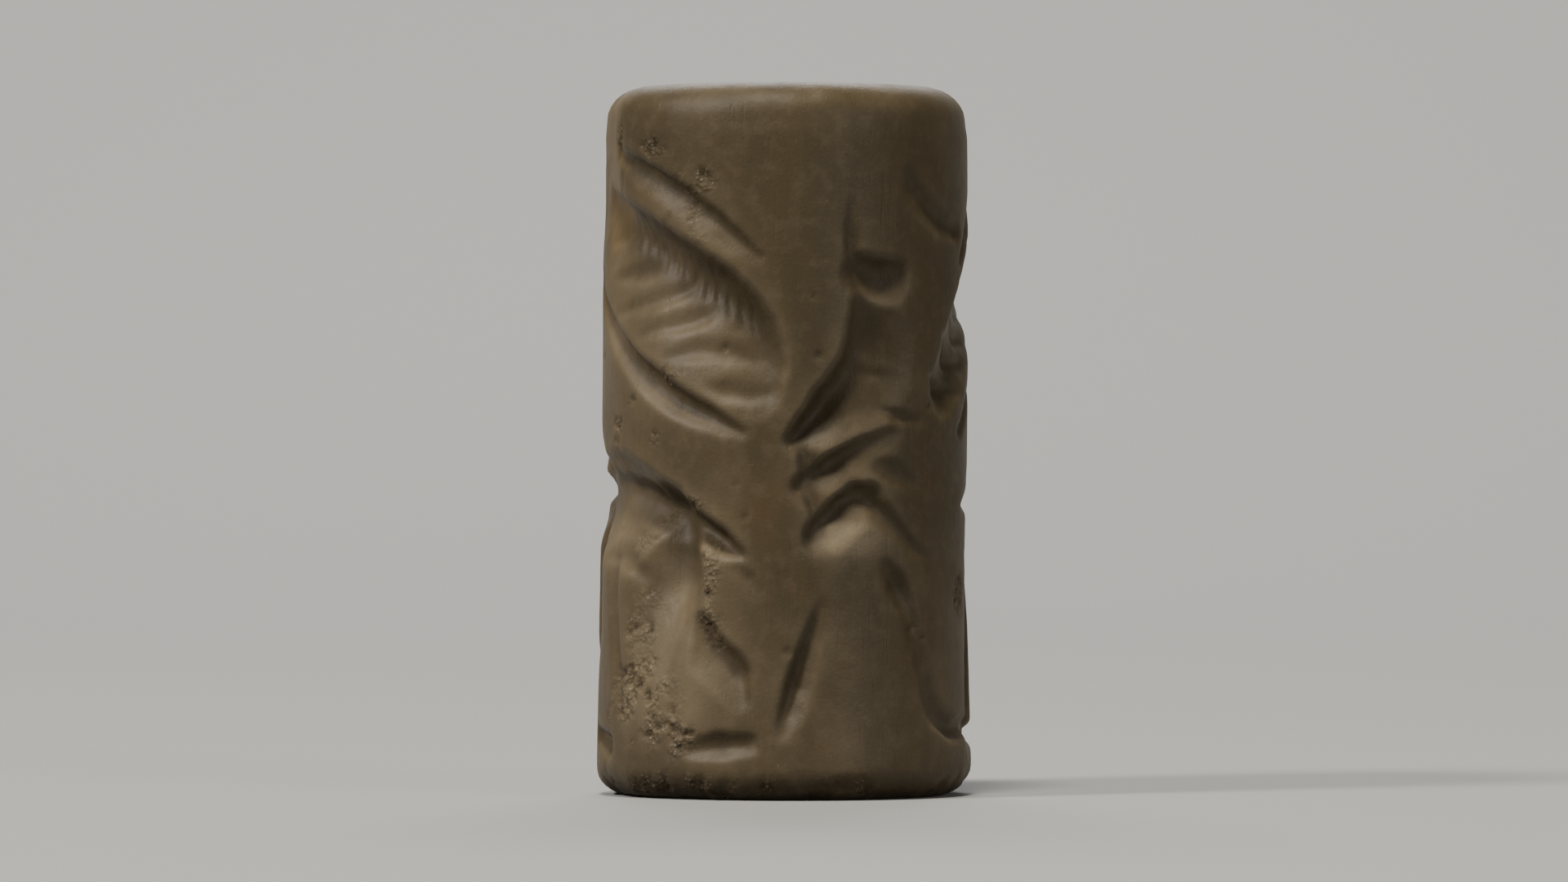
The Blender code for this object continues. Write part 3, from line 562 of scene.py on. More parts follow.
angle, share = numpy.meshgrid(across / SHEET_LENGTH * 2 * math.pi, up / SHEET_HEIGHT)
out_of_true = -UNEVENNESS / 2 * (numpy.sin(2 * angle + 2 * share) + numpy.sin(3 * angle - 5 * share)
                                 + numpy.sin(angle + 9 * share))
carved = CARVING_DEPTH * (sheet.forms + sheet.lines) * (1 + 0.1 * mottle(1.1, 21))
carved = blurred(carved + CHIP_DEPTH * sheet.chips, WEAR)
print(f"The deepest cut is {carved.max():.2f} mm deep")
print(f"The barrel is out of true by up to {abs(out_of_true).max():.2f} mm")

# %% [markdown]
# On top come the things that no engraver meant: nicked edges, rough floors in the cuts, pits,
# crumbs, dented rims and a faint lip under the head's. Loose pits are scattered over the whole
# wall by a seeded generator, because a buried stone never stays clean. Nicks and dents are the
# upper half of some noise, which makes hollows with level ground between them. All of it could
# be bump in the material alone, but then the outline of the stone would stay too clean.

# %% Nicks, pits and crumbs
FLOOR_STARTS = 0.15
FLOOR_ROUGHNESS = 0.004
SKIN_ROUGHNESS = 0.002
NICK_DEPTH = 0.3
PITS = 50
PIT_SIZES = (0.08, 0.2)
PIT_STEEPNESS = 0.3
PIT_SHAPES = (0.6, 1.2)
FOOT_MARGIN = 0.6
HEAD_MARGIN = 0.8
CRUMB_DEPTH = 0.19
CRUMB_FLOOR = 0.015


def hollows(cell, seed, depth):
    """Hollows of a size and a depth, with level ground between them."""
    return depth * numpy.clip(mottle(cell, seed), 0, 1)


inside_cuts = numpy.clip(carved / FLOOR_STARTS, 0, 1)
slope = numpy.hypot(numpy.gradient(carved, axis=0), numpy.gradient(carved, axis=1))
nicks = slope * hollows(0.28, 22, NICK_DEPTH)
rough = inside_cuts * FLOOR_ROUGHNESS * mottle(0.2, 23) + SKIN_ROUGHNESS * mottle(0.35, 24)

pitted = numpy.zeros_like(carved)
scatter = numpy.random.default_rng(25)
for _ in range(PITS):
    x = scatter.uniform(0, SHEET_LENGTH)
    y = scatter.uniform(FOOT_MARGIN, SHEET_HEIGHT - HEAD_MARGIN)
    size = scatter.uniform(*PIT_SIZES)
    pit = oval(x, y, size, size * scatter.uniform(*PIT_SHAPES))
    pitted = numpy.maximum(pitted, PIT_STEEPNESS * size * pit)

fallen_out = numpy.clip(mottle(0.2, 26) - 0.15, 0, 1)
left_standing = numpy.clip(mottle(0.17, 27) - 0.3, 0, 1)
crumbs = crumbling * (CRUMB_DEPTH * (fallen_out - 0.6 * left_standing) + CRUMB_FLOOR)
print(f"The pits are up to {pitted.max():.2f} mm deep and the crumbled hollows {crumbs.max():.2f} mm")

# %% [markdown]
# Last come the rims and the sum of everything. A hair's clearance keeps all of it inside the
# solid's box. One more map tells how far a place lies below what is around it. The stone's
# finish uses it later to lay dirt and painted shade in the grooves, and to paint the ridges pale
# as worn edges and painted highlights. A band along the foot's rim is added to it as painted
# shade.

# %% Dent the rims and add everything up
HEAD_REACH = 0.9
FOOT_REACH = 0.6
HEAD_DENT, HEAD_NICK = 0.1, 0.05
FOOT_DENT, FOOT_NICK = 0.16, 0.2
LIP_DEPTH = 0.035
LIP_WIDTH = 0.3
LIP_ABOVE_ROUNDING = 0.1
CLEARANCE = 0.012
SURROUNDINGS = 0.42


def near(height, reach):
    """1 at a height, falling to 0 above and below it."""
    return numpy.exp(-(((height - up) / reach) ** 2))[:, None]


near_head, near_foot = near(SHEET_HEIGHT, HEAD_REACH), near(0, FOOT_REACH)
rim_dents = near_head * (hollows(2.6, 28, HEAD_DENT) + hollows(0.8, 29, HEAD_NICK))
rim_dents += near_foot * (hollows(1.7, 30, FOOT_DENT) + hollows(0.45, 35, FOOT_NICK))
under_lip = near(SHEET_HEIGHT - HEAD_ROUNDING + LIP_ABOVE_ROUNDING, LIP_WIDTH)
lip = LIP_DEPTH * under_lip * (1 + 0.6 * mottle(3.0, 36))

depth = carved + nicks + rough + pitted + crumbs + rim_dents + lip + out_of_true + CLEARANCE
# The last term is painted shade along the foot's rim.
sunken_and_foot_shade = carved + crumbs + pitted - blurred(carved, SURROUNDINGS) + near_foot ** 2
print(f"The wall lies between {depth.min():.2f} and {depth.max():.2f} mm below the barrel")

# %% [markdown]
# ## Rolling the sheet into a wall
#
# The sheet becomes a flat mesh, one square for each step of the grid, which carries the depth as
# an attribute. A Geometry Nodes tree then rolls it up. The barrel follows a rule: its radius
# comes from the three diameters and from the rounding of its two rims, less the depth of the
# cut. In nodes the rule stays open to change, because every size is an input. Its seam is closed
# by Merge by Distance. A helper adds one node in one line, with its inputs linked or set.

# %% A helper for node trees
def add_node(tree, kind, *inputs, **settings):
    """Adds a node. Each input, in order, is a socket to link, a value to set, or None to leave."""
    node = tree.nodes.new(kind)
    for name, value in settings.items():
        setattr(node, name, value)
    for socket, value in zip(node.inputs, inputs):
        if isinstance(value, bpy.types.NodeSocket):
            tree.links.new(value, socket)
        elif value is not None:
            socket.default_value = value
    return node


def math_node(tree, operation, *inputs, clamp=False):
    """A Math node, and the number that comes out of it."""
    return add_node(tree, "ShaderNodeMath", *inputs, operation=operation, use_clamp=clamp).outputs[0]


print("A node, its settings and its links now take one line, and a sum takes one call")

# %% The flat sheet as a mesh
def flat_sheet():
    """A flat grid in metres, with one more column than the sheet, where its two ends will meet."""
    columns = numpy.append(across, SHEET_LENGTH)
    x, y = numpy.meshgrid(columns * MM, up * MM)
    places = numpy.dstack([x, y, numpy.zeros_like(x)]).reshape(-1, 3)
    corner = numpy.arange(len(up) - 1)[:, None] * len(columns) + numpy.arange(COLUMNS)[None, :]
    squares = numpy.dstack([corner, corner + 1, corner + len(columns) + 1, corner + len(columns)])
    mesh = bpy.data.meshes.new("rolled-out wall")
    mesh.from_pydata(places, [], squares.reshape(-1, 4).tolist())
    maps = {"depth": depth * MM, "sunken_and_foot_shade": sunken_and_foot_shade, "crumbling": crumbling, "weathering_and_painted_light": weathering_and_painted_light,
            "flaked": flaked}
    for name, values in maps.items():
        attribute = mesh.attributes.new(name, "FLOAT", "POINT")
        closed = numpy.hstack([values, values[:, :1]])
        attribute.data.foreach_set("value", closed.ravel().astype(numpy.float32))
    return mesh


rolled_out = flat_sheet()
print(f"The flat sheet has {len(rolled_out.polygons)} squares")

# %% The tree that rolls it up
SEAM_GAP = 0.001


def rolling_tree():
    """The tree that makes the barrel's wall from the flat sheet."""
    tree = bpy.data.node_groups.new("Roll the wall", "GeometryNodeTree")
    tree.interface.new_socket("Geometry", in_out="INPUT", socket_type="NodeSocketGeometry")
    for name in ("Sheet Length", "Height", "Head Diameter", "Waist Diameter", "Foot Diameter",
                 "Head Rounding", "Foot Rounding"):
        tree.interface.new_socket(name, in_out="INPUT", socket_type="NodeSocketFloat")
    tree.interface.new_socket("Material", in_out="INPUT", socket_type="NodeSocketMaterial")
    tree.interface.new_socket("Geometry", in_out="OUTPUT", socket_type="NodeSocketGeometry")
    given = tree.nodes.new("NodeGroupInput").outputs
    place = add_node(tree, "ShaderNodeSeparateXYZ", tree.nodes.new("GeometryNodeInputPosition").outputs[0])
    x, y = place.outputs[0], place.outputs[1]

    def maths(operation, *inputs, clamp=False):
        return math_node(tree, operation, *inputs, clamp=clamp)

    # From the waist the barrel widens with the square of the distance, towards the nearer end.
    from_waist = maths("SUBTRACT", maths("MULTIPLY", maths("DIVIDE", y, given["Height"]), 2.0), 1.0)
    is_upper = maths("GREATER_THAN", from_waist, 0.0)
    head_gain = maths("SUBTRACT", given["Head Diameter"], given["Foot Diameter"])
    end_diameter = maths("ADD", given["Foot Diameter"], maths("MULTIPLY", is_upper, head_gain))
    widening = maths("MULTIPLY", maths("SUBTRACT", end_diameter, given["Waist Diameter"]),
                     maths("MULTIPLY", from_waist, from_waist))
    barrel = maths("DIVIDE", maths("ADD", given["Waist Diameter"], widening), 2.0)

    def rim(distance, rounding):
        """How far a quarter-round rim pulls the wall in, at a distance from the end."""
        into = maths("SUBTRACT", 1.0, maths("DIVIDE", distance, rounding), clamp=True)
        still_out = maths("SQRT", maths("SUBTRACT", 1.0, maths("MULTIPLY", into, into)))
        return maths("MULTIPLY", rounding, maths("SUBTRACT", 1.0, still_out))

    from_head = maths("SUBTRACT", given["Height"], y)
    pulled_in = maths("ADD", rim(y, given["Foot Rounding"]), rim(from_head, given["Head Rounding"]))
    cut = add_node(tree, "GeometryNodeInputNamedAttribute", "depth", data_type="FLOAT").outputs[0]
    radius = maths("SUBTRACT", maths("SUBTRACT", barrel, pulled_in), cut)
    turned = maths("MULTIPLY", maths("DIVIDE", x, given["Sheet Length"]), 2 * math.pi)
    rolled = add_node(tree, "ShaderNodeCombineXYZ", maths("MULTIPLY", radius, maths("SINE", turned)),
                      maths("MULTIPLY", maths("MULTIPLY", radius, maths("COSINE", turned)), -1.0), y)
    placed = add_node(tree, "GeometryNodeSetPosition", given["Geometry"], None, rolled.outputs[0])
    merged = add_node(tree, "GeometryNodeMergeByDistance", placed.outputs[0], None, SEAM_GAP * MM)
    made = add_node(tree, "GeometryNodeRealizeInstances", merged.outputs[0])
    finished = add_node(tree, "GeometryNodeSetMaterial", made.outputs[0], None, given["Material"])
    tree.links.new(finished.outputs[0], tree.nodes.new("NodeGroupOutput").inputs[0])
    return tree


roll_the_wall = rolling_tree()
print(f"The rolling tree has {len(roll_the_wall.nodes)} nodes")

# %% [markdown]
# A modifier carries the tree. Its inputs are set by each socket's identifier, before Blender
# works the object out for the first time. The result is then kept as a plain mesh, which is what
# the next step, closing the ends, needs.

# %% Roll it up
HEAD_DIAMETER = 11.5
WAIST_DIAMETER = 11.4
FOOT_DIAMETER = 11.7

stone = bpy.data.materials.new("worn stone")
wall_sizes = {
    "Sheet Length": SHEET_LENGTH, "Height": SHEET_HEIGHT, "Head Diameter": HEAD_DIAMETER,
    "Waist Diameter": WAIST_DIAMETER, "Foot Diameter": FOOT_DIAMETER,
    "Head Rounding": HEAD_ROUNDING, "Foot Rounding": FOOT_ROUNDING,
}


def roll_up(mesh, tree, sizes, material):
    """Runs the tree on a flat mesh, and keeps what comes out as a mesh."""
    flat = bpy.data.objects.new("rolled-out wall", mesh)
    bpy.context.scene.collection.objects.link(flat)
    modifier = flat.modifiers.new("Roll the wall", "NODES")
    modifier.node_group = tree
    for item in tree.interface.items_tree:
        if item.in_out == "INPUT" and item.name in sizes:
            modifier[item.identifier] = sizes[item.name] * MM
        elif item.in_out == "INPUT" and item.name == "Material":
            modifier[item.identifier] = material
    made = flat.evaluated_get(bpy.context.evaluated_depsgraph_get())
    wall = bpy.data.meshes.new_from_object(made)
    bpy.data.objects.remove(flat, do_unlink=True)
    return wall


wall = roll_up(rolled_out, roll_the_wall, wall_sizes, stone)
merged_points = len(rolled_out.vertices) - len(wall.vertices)
print(f"The wall has {len(wall.vertices)} points, {merged_points} merged at the seam")

# %% [markdown]
# ## The ends and the hole
#
# The two ends are ground flat, and the hole was drilled from both of them, so it is widest at its
# mouths and narrowest half way, where the two drillings meet a little off centre. All this is one
# more run of rings, from the edge of the foot inwards, up through the stone, and out over the
# head. Each ring has a point for every column of the wall, so the last one meets the wall's edge
# point for point. A Boolean could drill the hole, but it would leave slivers where the rings
# leave even squares. The hole's own rings come first.

# %% The rings of the hole
MOUTH_RADIUS = 1.7
BORE_RADIUS = 1.45
MOUTH_ROUNDING = 0.4
MOUTH_RINGS = 4
BORE_RINGS = 12
DRILL_OFFSET = 0.12


def bore_rings():
    """The radius, the shift to the side and the height of each ring of the hole, from foot to head."""
    turned = numpy.linspace(0, math.pi / 2, MOUTH_RINGS)
    flare, rise = MOUTH_ROUNDING * (1 - numpy.sin(turned)), MOUTH_ROUNDING * (1 - numpy.cos(turned))
    rings = [(MOUTH_RADIUS + f, 0.0, z) for f, z in zip(flare, rise)]
    for z in numpy.linspace(MOUTH_ROUNDING, SHEET_HEIGHT - MOUTH_ROUNDING, BORE_RINGS + 2)[1:-1]:
        to_end = abs(2 * z / SHEET_HEIGHT - 1)
        radius = BORE_RADIUS + (MOUTH_RADIUS - BORE_RADIUS) * to_end
        rings.append((radius, DRILL_OFFSET * (1 - to_end), z))
    return rings + [(MOUTH_RADIUS + f, 0.0, SHEET_HEIGHT - z) for f, z in list(zip(flare, rise))[::-1]]


def ring_points(radius, shift, z):
    """One ring of the hole, with a point for each column of the wall."""
    angles = 2 * math.pi * across / SHEET_LENGTH
    return numpy.column_stack([radius * numpy.sin(angles) + shift, -radius * numpy.cos(angles),
                               numpy.full(COLUMNS, z)])


hole_rings = bore_rings()
print(f"The hole has {len(hole_rings)} rings, from {2 * BORE_RADIUS:.1f} to {2 * MOUTH_RADIUS:.1f} mm across")

# %% [markdown]
# No end stays as flat as it was ground. Each ring of an end's face is worn a little below the
# flat, the most between its rim and the mouth of the hole. The same maps that the wall carries
# are filled in here as well: the ends have crumbled in a few patches, and dirt lines the hole.
# Noise for a ring comes from one row of the sheet, which meets itself like every other row.

# %% Wear on the ends
END_RINGS = 9
END_WEAR = 0.07
HOLE_DIRT = 0.3


def end_heights(ring_share, seed):
    """How far a ring of an end's face is worn below the flat, for each column."""
    broad = mottle(2.4, seed)[len(up) // 3]
    fine = 0.6 * mottle(0.9, seed + 1)[int(len(up) * ring_share * 0.5)]
    fade = min(1.0, 4 * ring_share, 4 * (1 - ring_share))
    return END_WEAR * fade * numpy.clip(broad + fine, 0, 1)


def wear_the_ends(bm, faces, hole):
    """Crumbles the rings of the ends in patches, and lets dirt settle in the hole."""
    crumbled, pale, dirty = (bm.verts.layers.float[name] for name in ("crumbling", "weathering_and_painted_light", "sunken_and_foot_shade"))
    patches = numpy.clip(3.5 * mottle(1.8, 41) - 1.4, 0, 1)
    tints = 0.3 + 0.5 * mottle(1.8, 42)
    for k, ring in enumerate(faces):
        row = len(up) * (k + 1) // (len(faces) + 1)
        for v, patch, tint in zip(ring, patches[row], tints[row]):
            v[crumbled] = patch
            v[pale] = tint
            v[dirty] = 0.5 * patch
    for ring in hole:
        for v in ring:
            v[dirty] = HOLE_DIRT


print(f"The middle ring of an end is worn by up to {end_heights(0.5, 31).max():.3f} mm")

# %% [markdown]
# The rings are now joined to each other and to the two edges of the wall, square by square. That
# leaves one closed skin, and its normals are turned outwards once it is whole.

# %% Close the ends and drill the hole
EDGE_TOLERANCE = 0.1


def edge_of(bm, height):
    """The points of the wall's edge at a height, in the order that they go round."""
    edge = [v for v in bm.verts if v.is_boundary and abs(v.co.z - height) < EDGE_TOLERANCE * MM]
    return sorted(edge, key=lambda v: math.atan2(v.co.x, -v.co.y) % (2 * math.pi))


def close_and_drill(wall):
    """The wall with its ends and its hole, as one closed mesh."""
    bm = bmesh.new()
    bm.from_mesh(wall)
    foot_edge, head_edge = edge_of(bm, 0.0), edge_of(bm, seal_height)
    hole = [ring_points(*ring) * MM for ring in hole_rings]

    def face_rings(edge, mouth, side, seed):
        outer = numpy.array([v.co for v in edge])
        for k in range(1, END_RINGS):
            t = k / END_RINGS
            ring = outer + (mouth - outer) * t
            ring[:, 2] += side * end_heights(t, seed) * MM
            yield ring

    foot_rings = list(face_rings(foot_edge, hole[0], 1, 31))
    head_rings = list(face_rings(head_edge, hole[-1], -1, 33))[::-1]
    rings = [[bm.verts.new(place) for place in ring] for ring in foot_rings + hole + head_rings]
    first, last = len(foot_rings), len(rings) - len(head_rings)
    wear_the_ends(bm, rings[:first] + rings[last:], rings[first:last])
    loops = [foot_edge, *rings, head_edge]
    for low, high in zip(loops, loops[1:]):
        for k in range(COLUMNS):
            after = (k + 1) % COLUMNS
            bm.faces.new((low[k], low[after], high[after], high[k]))
    bmesh.ops.recalc_face_normals(bm, faces=bm.faces)
    open_edges = sum(edge.is_boundary for edge in bm.edges)
    triangles = sum(len(face.verts) - 2 for face in bm.faces)
    mesh = bpy.data.meshes.new("carved seal")
    bm.to_mesh(mesh)
    bm.free()
    print(f"The seal has {triangles} triangles, {open_edges} open edges and a {2 * BORE_RADIUS:.1f} mm hole")
    return mesh


carved_mesh = close_and_drill(wall)
carved_mesh.shade_smooth()
carved_mesh.materials.append(stone)
carved_seal = bpy.data.objects.new("carved_seal", carved_mesh)
bpy.context.scene.collection.objects.link(carved_seal)

# %% [markdown]
# ## The stone
#
# The seal is cut from a dark, fine stone between olive and brown. Its plain wall is polished by
# handling, the cuts hold dirt that is laid on dark enough to stand for their shade too, and where
# it crumbles the fresh grain is paler and rough. Where it has flaked, it shows a warmer stone
# below its skin. Flecks of light and dark mineral show all over it. Light and shade are painted
# in as well: shade along the foot's rim and in crumbled pits, highlights on ridges and on pale
# patches, and glints on loose grains. The finish reads the stone's own coordinates, so the
# pattern runs through it as a real vein does, and it reads the four maps that the wall carries.
# A painted picture wrapped round the seal would show a seam and blur close up, and noise does
# neither.
#
# Flecks come back at several sizes and colours, so they are one node group: it turns a size, an
# amount and a softness into a mask. The material places it again for each kind of fleck.

# %% The fleck group
def fleck_group():
    """A group that makes a mask of flecks from noise."""
    group = bpy.data.node_groups.new("Flecks", "ShaderNodeTree")
    group.interface.new_socket("Vector", in_out="INPUT", socket_type="NodeSocketVector")
    for name, value in (("Scale", 1000.0), ("Amount", 0.5), ("Softness", 0.05)):
        socket = group.interface.new_socket(name, in_out="INPUT", socket_type="NodeSocketFloat")
        socket.default_value = value
    group.interface.new_socket("Mask", in_out="OUTPUT", socket_type="NodeSocketFloat")
    given = group.nodes.new("NodeGroupInput").outputs
    noise = add_node(group, "ShaderNodeTexNoise", given["Vector"], None, given["Scale"], 4.0, 0.6)
    threshold = math_node(group, "SUBTRACT", 1.0, given["Amount"])
    above = math_node(group, "SUBTRACT", noise.outputs["Fac"], threshold)
    mask = math_node(group, "DIVIDE", above, given["Softness"], clamp=True)
    group.links.new(mask, group.nodes.new("NodeGroupOutput").inputs[0])
    return group


flecks = fleck_group()
fleck_inputs = [item.name for item in flecks.interface.items_tree if item.in_out == "INPUT"]
print("The fleck group takes", ", ".join(fleck_inputs))

# %% [markdown]
# The material works in layers, as a painter would. Every layer reads the same few things, the
# stone's own coordinates and the four maps, so these come first. Then there is a helper for each
# kind of pattern. Sizes of patterns are given in millimetres, and `per_mm` turns a size into the
# scale that Blender's textures take.

# %% What every layer of the finish reads
GRAIN_FADE = 2.6

stone.use_nodes = True
stone_tree = stone.node_tree
shader = stone_tree.nodes["Principled BSDF"]
where = add_node(stone_tree, "ShaderNodeTexCoord").outputs["Object"]
sunk_and_foot_shade, crumbled, paler_and_painted_light, broken = (
    add_node(stone_tree, "ShaderNodeAttribute", attribute_name=name).outputs["Fac"]
    for name in ("sunken_and_foot_shade", "crumbling", "weathering_and_painted_light", "flaked"))


def maths(operation, *inputs, clamp=False):
    """A number worked out in the stone's tree."""
    return math_node(stone_tree, operation, *inputs, clamp=clamp)


def per_mm(size):
    """The scale of a pattern whose features are a size in millimetres."""
    return 1 / (size * MM)


def fleck(size, amount, softness):
    """A mask of flecks of a size. They cover an amount of the stone, and their edges are soft."""
    node = add_node(stone_tree, "ShaderNodeGroup", node_tree=flecks)
    for name, value in (("Scale", per_mm(size)), ("Amount", amount), ("Softness", softness)):
        node.inputs[name].default_value = value
    stone_tree.links.new(where, node.inputs["Vector"])
    return node.outputs[0]


def grit_cells(size):
    """How far a place lies from the nearest grain, in grain sizes."""
    return add_node(stone_tree, "ShaderNodeTexVoronoi", where, None, per_mm(size)).outputs["Distance"]


def grains(size):
    """A mask of single grains of a size, each fading outwards from its middle."""
    return maths("SUBTRACT", 1.0, maths("MULTIPLY", grit_cells(size), GRAIN_FADE), clamp=True)


print("The finish reads the four maps, and draws flecks and grains of any size")

# %% [markdown]
# Two more patterns are noise that is drawn out in one direction. Streaks are soft bands that run
# up the wall, where water and hands have passed. Scratches are far finer, run in two directions,
# and show only in the bump.

# %% Streaks and scratches
def drawn_out(scales, turned, noise_scale, detail, roughness):
    """Noise in a space that is turned and scaled, so that its patches grow long."""
    space = add_node(stone_tree, "ShaderNodeMapping", where, None, turned)
    space.inputs["Scale"].default_value = [scale / MM for scale in scales]
    noise = add_node(stone_tree, "ShaderNodeTexNoise", space.outputs[0], None, noise_scale, detail, roughness)
    return noise.outputs["Fac"]


def peaks(noise, threshold, steepness):
    """What rises above a threshold, as a mask."""
    return maths("MULTIPLY", maths("SUBTRACT", noise, threshold), steepness, clamp=True)


def streaks():
    """A mask of soft bands that run up the wall."""
    return peaks(drawn_out((1, 1, 0.1), (0, 0, 0), 0.7, 3.0, 0.55), 0.42, 3.0)


def scratches():
    """A mask of fine scratches in two directions."""
    one_way = drawn_out((1, 1, 1 / 14), (0.3, 0.5, 0.2), 6.0, 1.0, 0.4)
    other_way = drawn_out((1, 1, 1 / 10), (0.3, -0.9, 0.2), 6.0, 1.0, 0.4)
    return maths("MAXIMUM", peaks(one_way, 0.66, 9.0), peaks(other_way, 0.66, 9.0))


print("Streaks run up the wall, and scratches cross it in two directions")

# %% [markdown]
# The skin of the stone is laid down first, one colour over another, each through a mask and at a
# strength. Underneath, olive and grey-brown drift into each other, the paler one where the stone
# is weathered and where light is painted in, the olive one where it is handled and where shade is
# painted in. Over them lie painted highlights where pale patches pile up, streaks, rusty stains
# and fresh breaks, and then the flecks of mineral, the coarse ones first.

# %% The colours of the skin
OLIVE = (0.092, 0.067, 0.033, 1)
GREY_BROWN = (0.165, 0.125, 0.075, 1)
RUST = (0.13, 0.075, 0.030, 1)
# A dark colour for dirt, also laid on as painted shade in the cuts, the pits and the foot's rim.
DIRT_AND_SHADE = (0.040, 0.030, 0.017, 1)
# A pale mineral colour, also laid on as painted highlights.
PALE_GRAIN_AND_HIGHLIGHT = (0.33, 0.26, 0.16, 1)
DARK_GRAIN = (0.035, 0.028, 0.018, 1)
# Loose grains are painted bright enough to stand for glints.
LOOSE_GRAIN_AND_GLINT = (0.58, 0.51, 0.40, 1)
FRESH_BREAK = (0.26, 0.175, 0.075, 1)


def mix(factor, first, second):
    """A colour between two, by a factor."""
    node = add_node(stone_tree, "ShaderNodeMix", data_type="RGBA")
    for name, value in (("Factor_Float", factor), ("A_Color", first), ("B_Color", second)):
        socket = next(s for s in node.inputs if s.identifier == name)
        if isinstance(value, bpy.types.NodeSocket):
            stone_tree.links.new(value, socket)
        else:
            socket.default_value = value
    return next(s for s in node.outputs if s.identifier == "Result_Color")


def lay(over, under, mask, strength):
    """Lays one colour over another, through a mask and at a strength."""
    return mix(maths("MULTIPLY", mask, strength), under, over)


def skin():
    """The colour of clean stone, with painted light, shade and highlights in its patches."""
    drift = maths("MULTIPLY", fleck(3.0, 0.55, 0.3), 0.45)
    paleness_and_painted_light = maths("ADD", drift, maths("MULTIPLY", paler_and_painted_light, 0.7), clamp=True)
    # Where the pale ovals pile up, a pale colour is laid on as a painted highlight.
    painted_highlight = maths("SUBTRACT", paler_and_painted_light, 1.0, clamp=True)
    colour = mix(paleness_and_painted_light, OLIVE, GREY_BROWN)
    colour = lay(PALE_GRAIN_AND_HIGHLIGHT, colour, painted_highlight, strength=0.6)
    colour = lay(DARK_GRAIN, colour, streaks(), strength=0.4)
    colour = lay(RUST, colour, fleck(2.2, 0.45, 0.25), strength=0.4)
    colour = lay(FRESH_BREAK, colour, broken, strength=0.38)
    colour = lay(GREY_BROWN, colour, fleck(0.5, 0.52, 0.2), strength=0.3)
    colour = lay(DARK_GRAIN, colour, fleck(0.8, 0.4, 0.15), strength=0.25)
    colour = lay(DARK_GRAIN, colour, fleck(0.16, 0.35, 0.06), strength=0.3)
    return lay(PALE_GRAIN_AND_HIGHLIGHT, colour, fleck(0.13, 0.31, 0.05), strength=0.35)


skin_colour = skin()
print(f"The skin took {len(stone_tree.nodes)} nodes")

# %% [markdown]
# Then comes what time has added, with painted light in it: dirt in the grooves, thicker in some
# places than in others and dark enough to stand for their shade too, and painted shade along the
# foot's rim; dark pits, dirt and painted shade together, and loose pale grains painted bright as
# glints where the stone crumbles; and pale paint on worn ridges, which are the places that stand
# proud of what is around them, as painted highlights.

# %% Dirt and painted shade, loose grains and glints, worn ridges and highlights
COARSE_GRIT = 0.22
FINE_GRIT = 0.13
DIRT_AND_SHADE_GAIN = 2.8
LEAST_DIRT_AND_SHADE = 0.25
RIDGE_GAIN = 4.0


def aged(colour, dirt_and_painted_shade):
    """A colour with dirt and painted shade, crumbled patches with glints, and worn ridges as highlights."""
    # The crumbled pits are painted dark: dirt and painted shade.
    pit_dirt_and_shade = maths("MULTIPLY", crumbled, grains(COARSE_GRIT))
    # Loose pale grains, painted bright as glints, in the crumbled patches.
    loose_grains_and_glints = maths("MULTIPLY", grains(FINE_GRIT), fleck(0.3, 0.55, 0.15))
    loose_grains_and_glints = maths("MULTIPLY", crumbled, loose_grains_and_glints)
    # Places that stand proud are painted pale: worn edges and painted highlights.
    worn_ridges_and_highlights = maths("MULTIPLY", sunk_and_foot_shade, -RIDGE_GAIN, clamp=True)
    colour = lay(DIRT_AND_SHADE, colour, dirt_and_painted_shade, strength=0.7)
    colour = lay(DIRT_AND_SHADE, colour, pit_dirt_and_shade, strength=0.6)
    colour = lay(LOOSE_GRAIN_AND_GLINT, colour, loose_grains_and_glints, strength=0.7)
    return lay(PALE_GRAIN_AND_HIGHLIGHT, colour, worn_ridges_and_highlights, strength=0.35)


# The grooves' dirt is laid dark enough to stand for their shade too, and the foot's rim gets painted shade.
patchy = maths("ADD", fleck(0.7, 0.6, 0.4), LEAST_DIRT_AND_SHADE, clamp=True)
dirt_and_painted_shade = maths("MULTIPLY", maths("MULTIPLY", sunk_and_foot_shade, DIRT_AND_SHADE_GAIN, clamp=True), patchy)
stone_tree.links.new(aged(skin_colour, dirt_and_painted_shade), shader.inputs["Base Color"])
print(f"With its dirt and wear it took {len(stone_tree.nodes)}")

# %% [markdown]
# The polish follows the same maps: clean stone is smooth, and dirt and crumbled grain are dull.
# The bump holds what is too small for the mesh, which is the grain of the skin, the grit of the
# crumbled places and the scratches. It is under a twentieth of a millimetre high.

# %% Polish and grain
POLISH = 0.5
SPECULAR = 0.3
BUMP_STRENGTH = 0.55
BUMP_HEIGHT = 0.04


def dullness():
    """The roughness of the surface."""
    dull = maths("ADD", maths("MULTIPLY", dirt_and_painted_shade, 0.2), maths("MULTIPLY", crumbled, 0.2))
    smeared = maths("MULTIPLY", fleck(0.9, 0.5, 0.4), 0.14)
    return maths("ADD", maths("ADD", POLISH, dull), smeared, clamp=True)


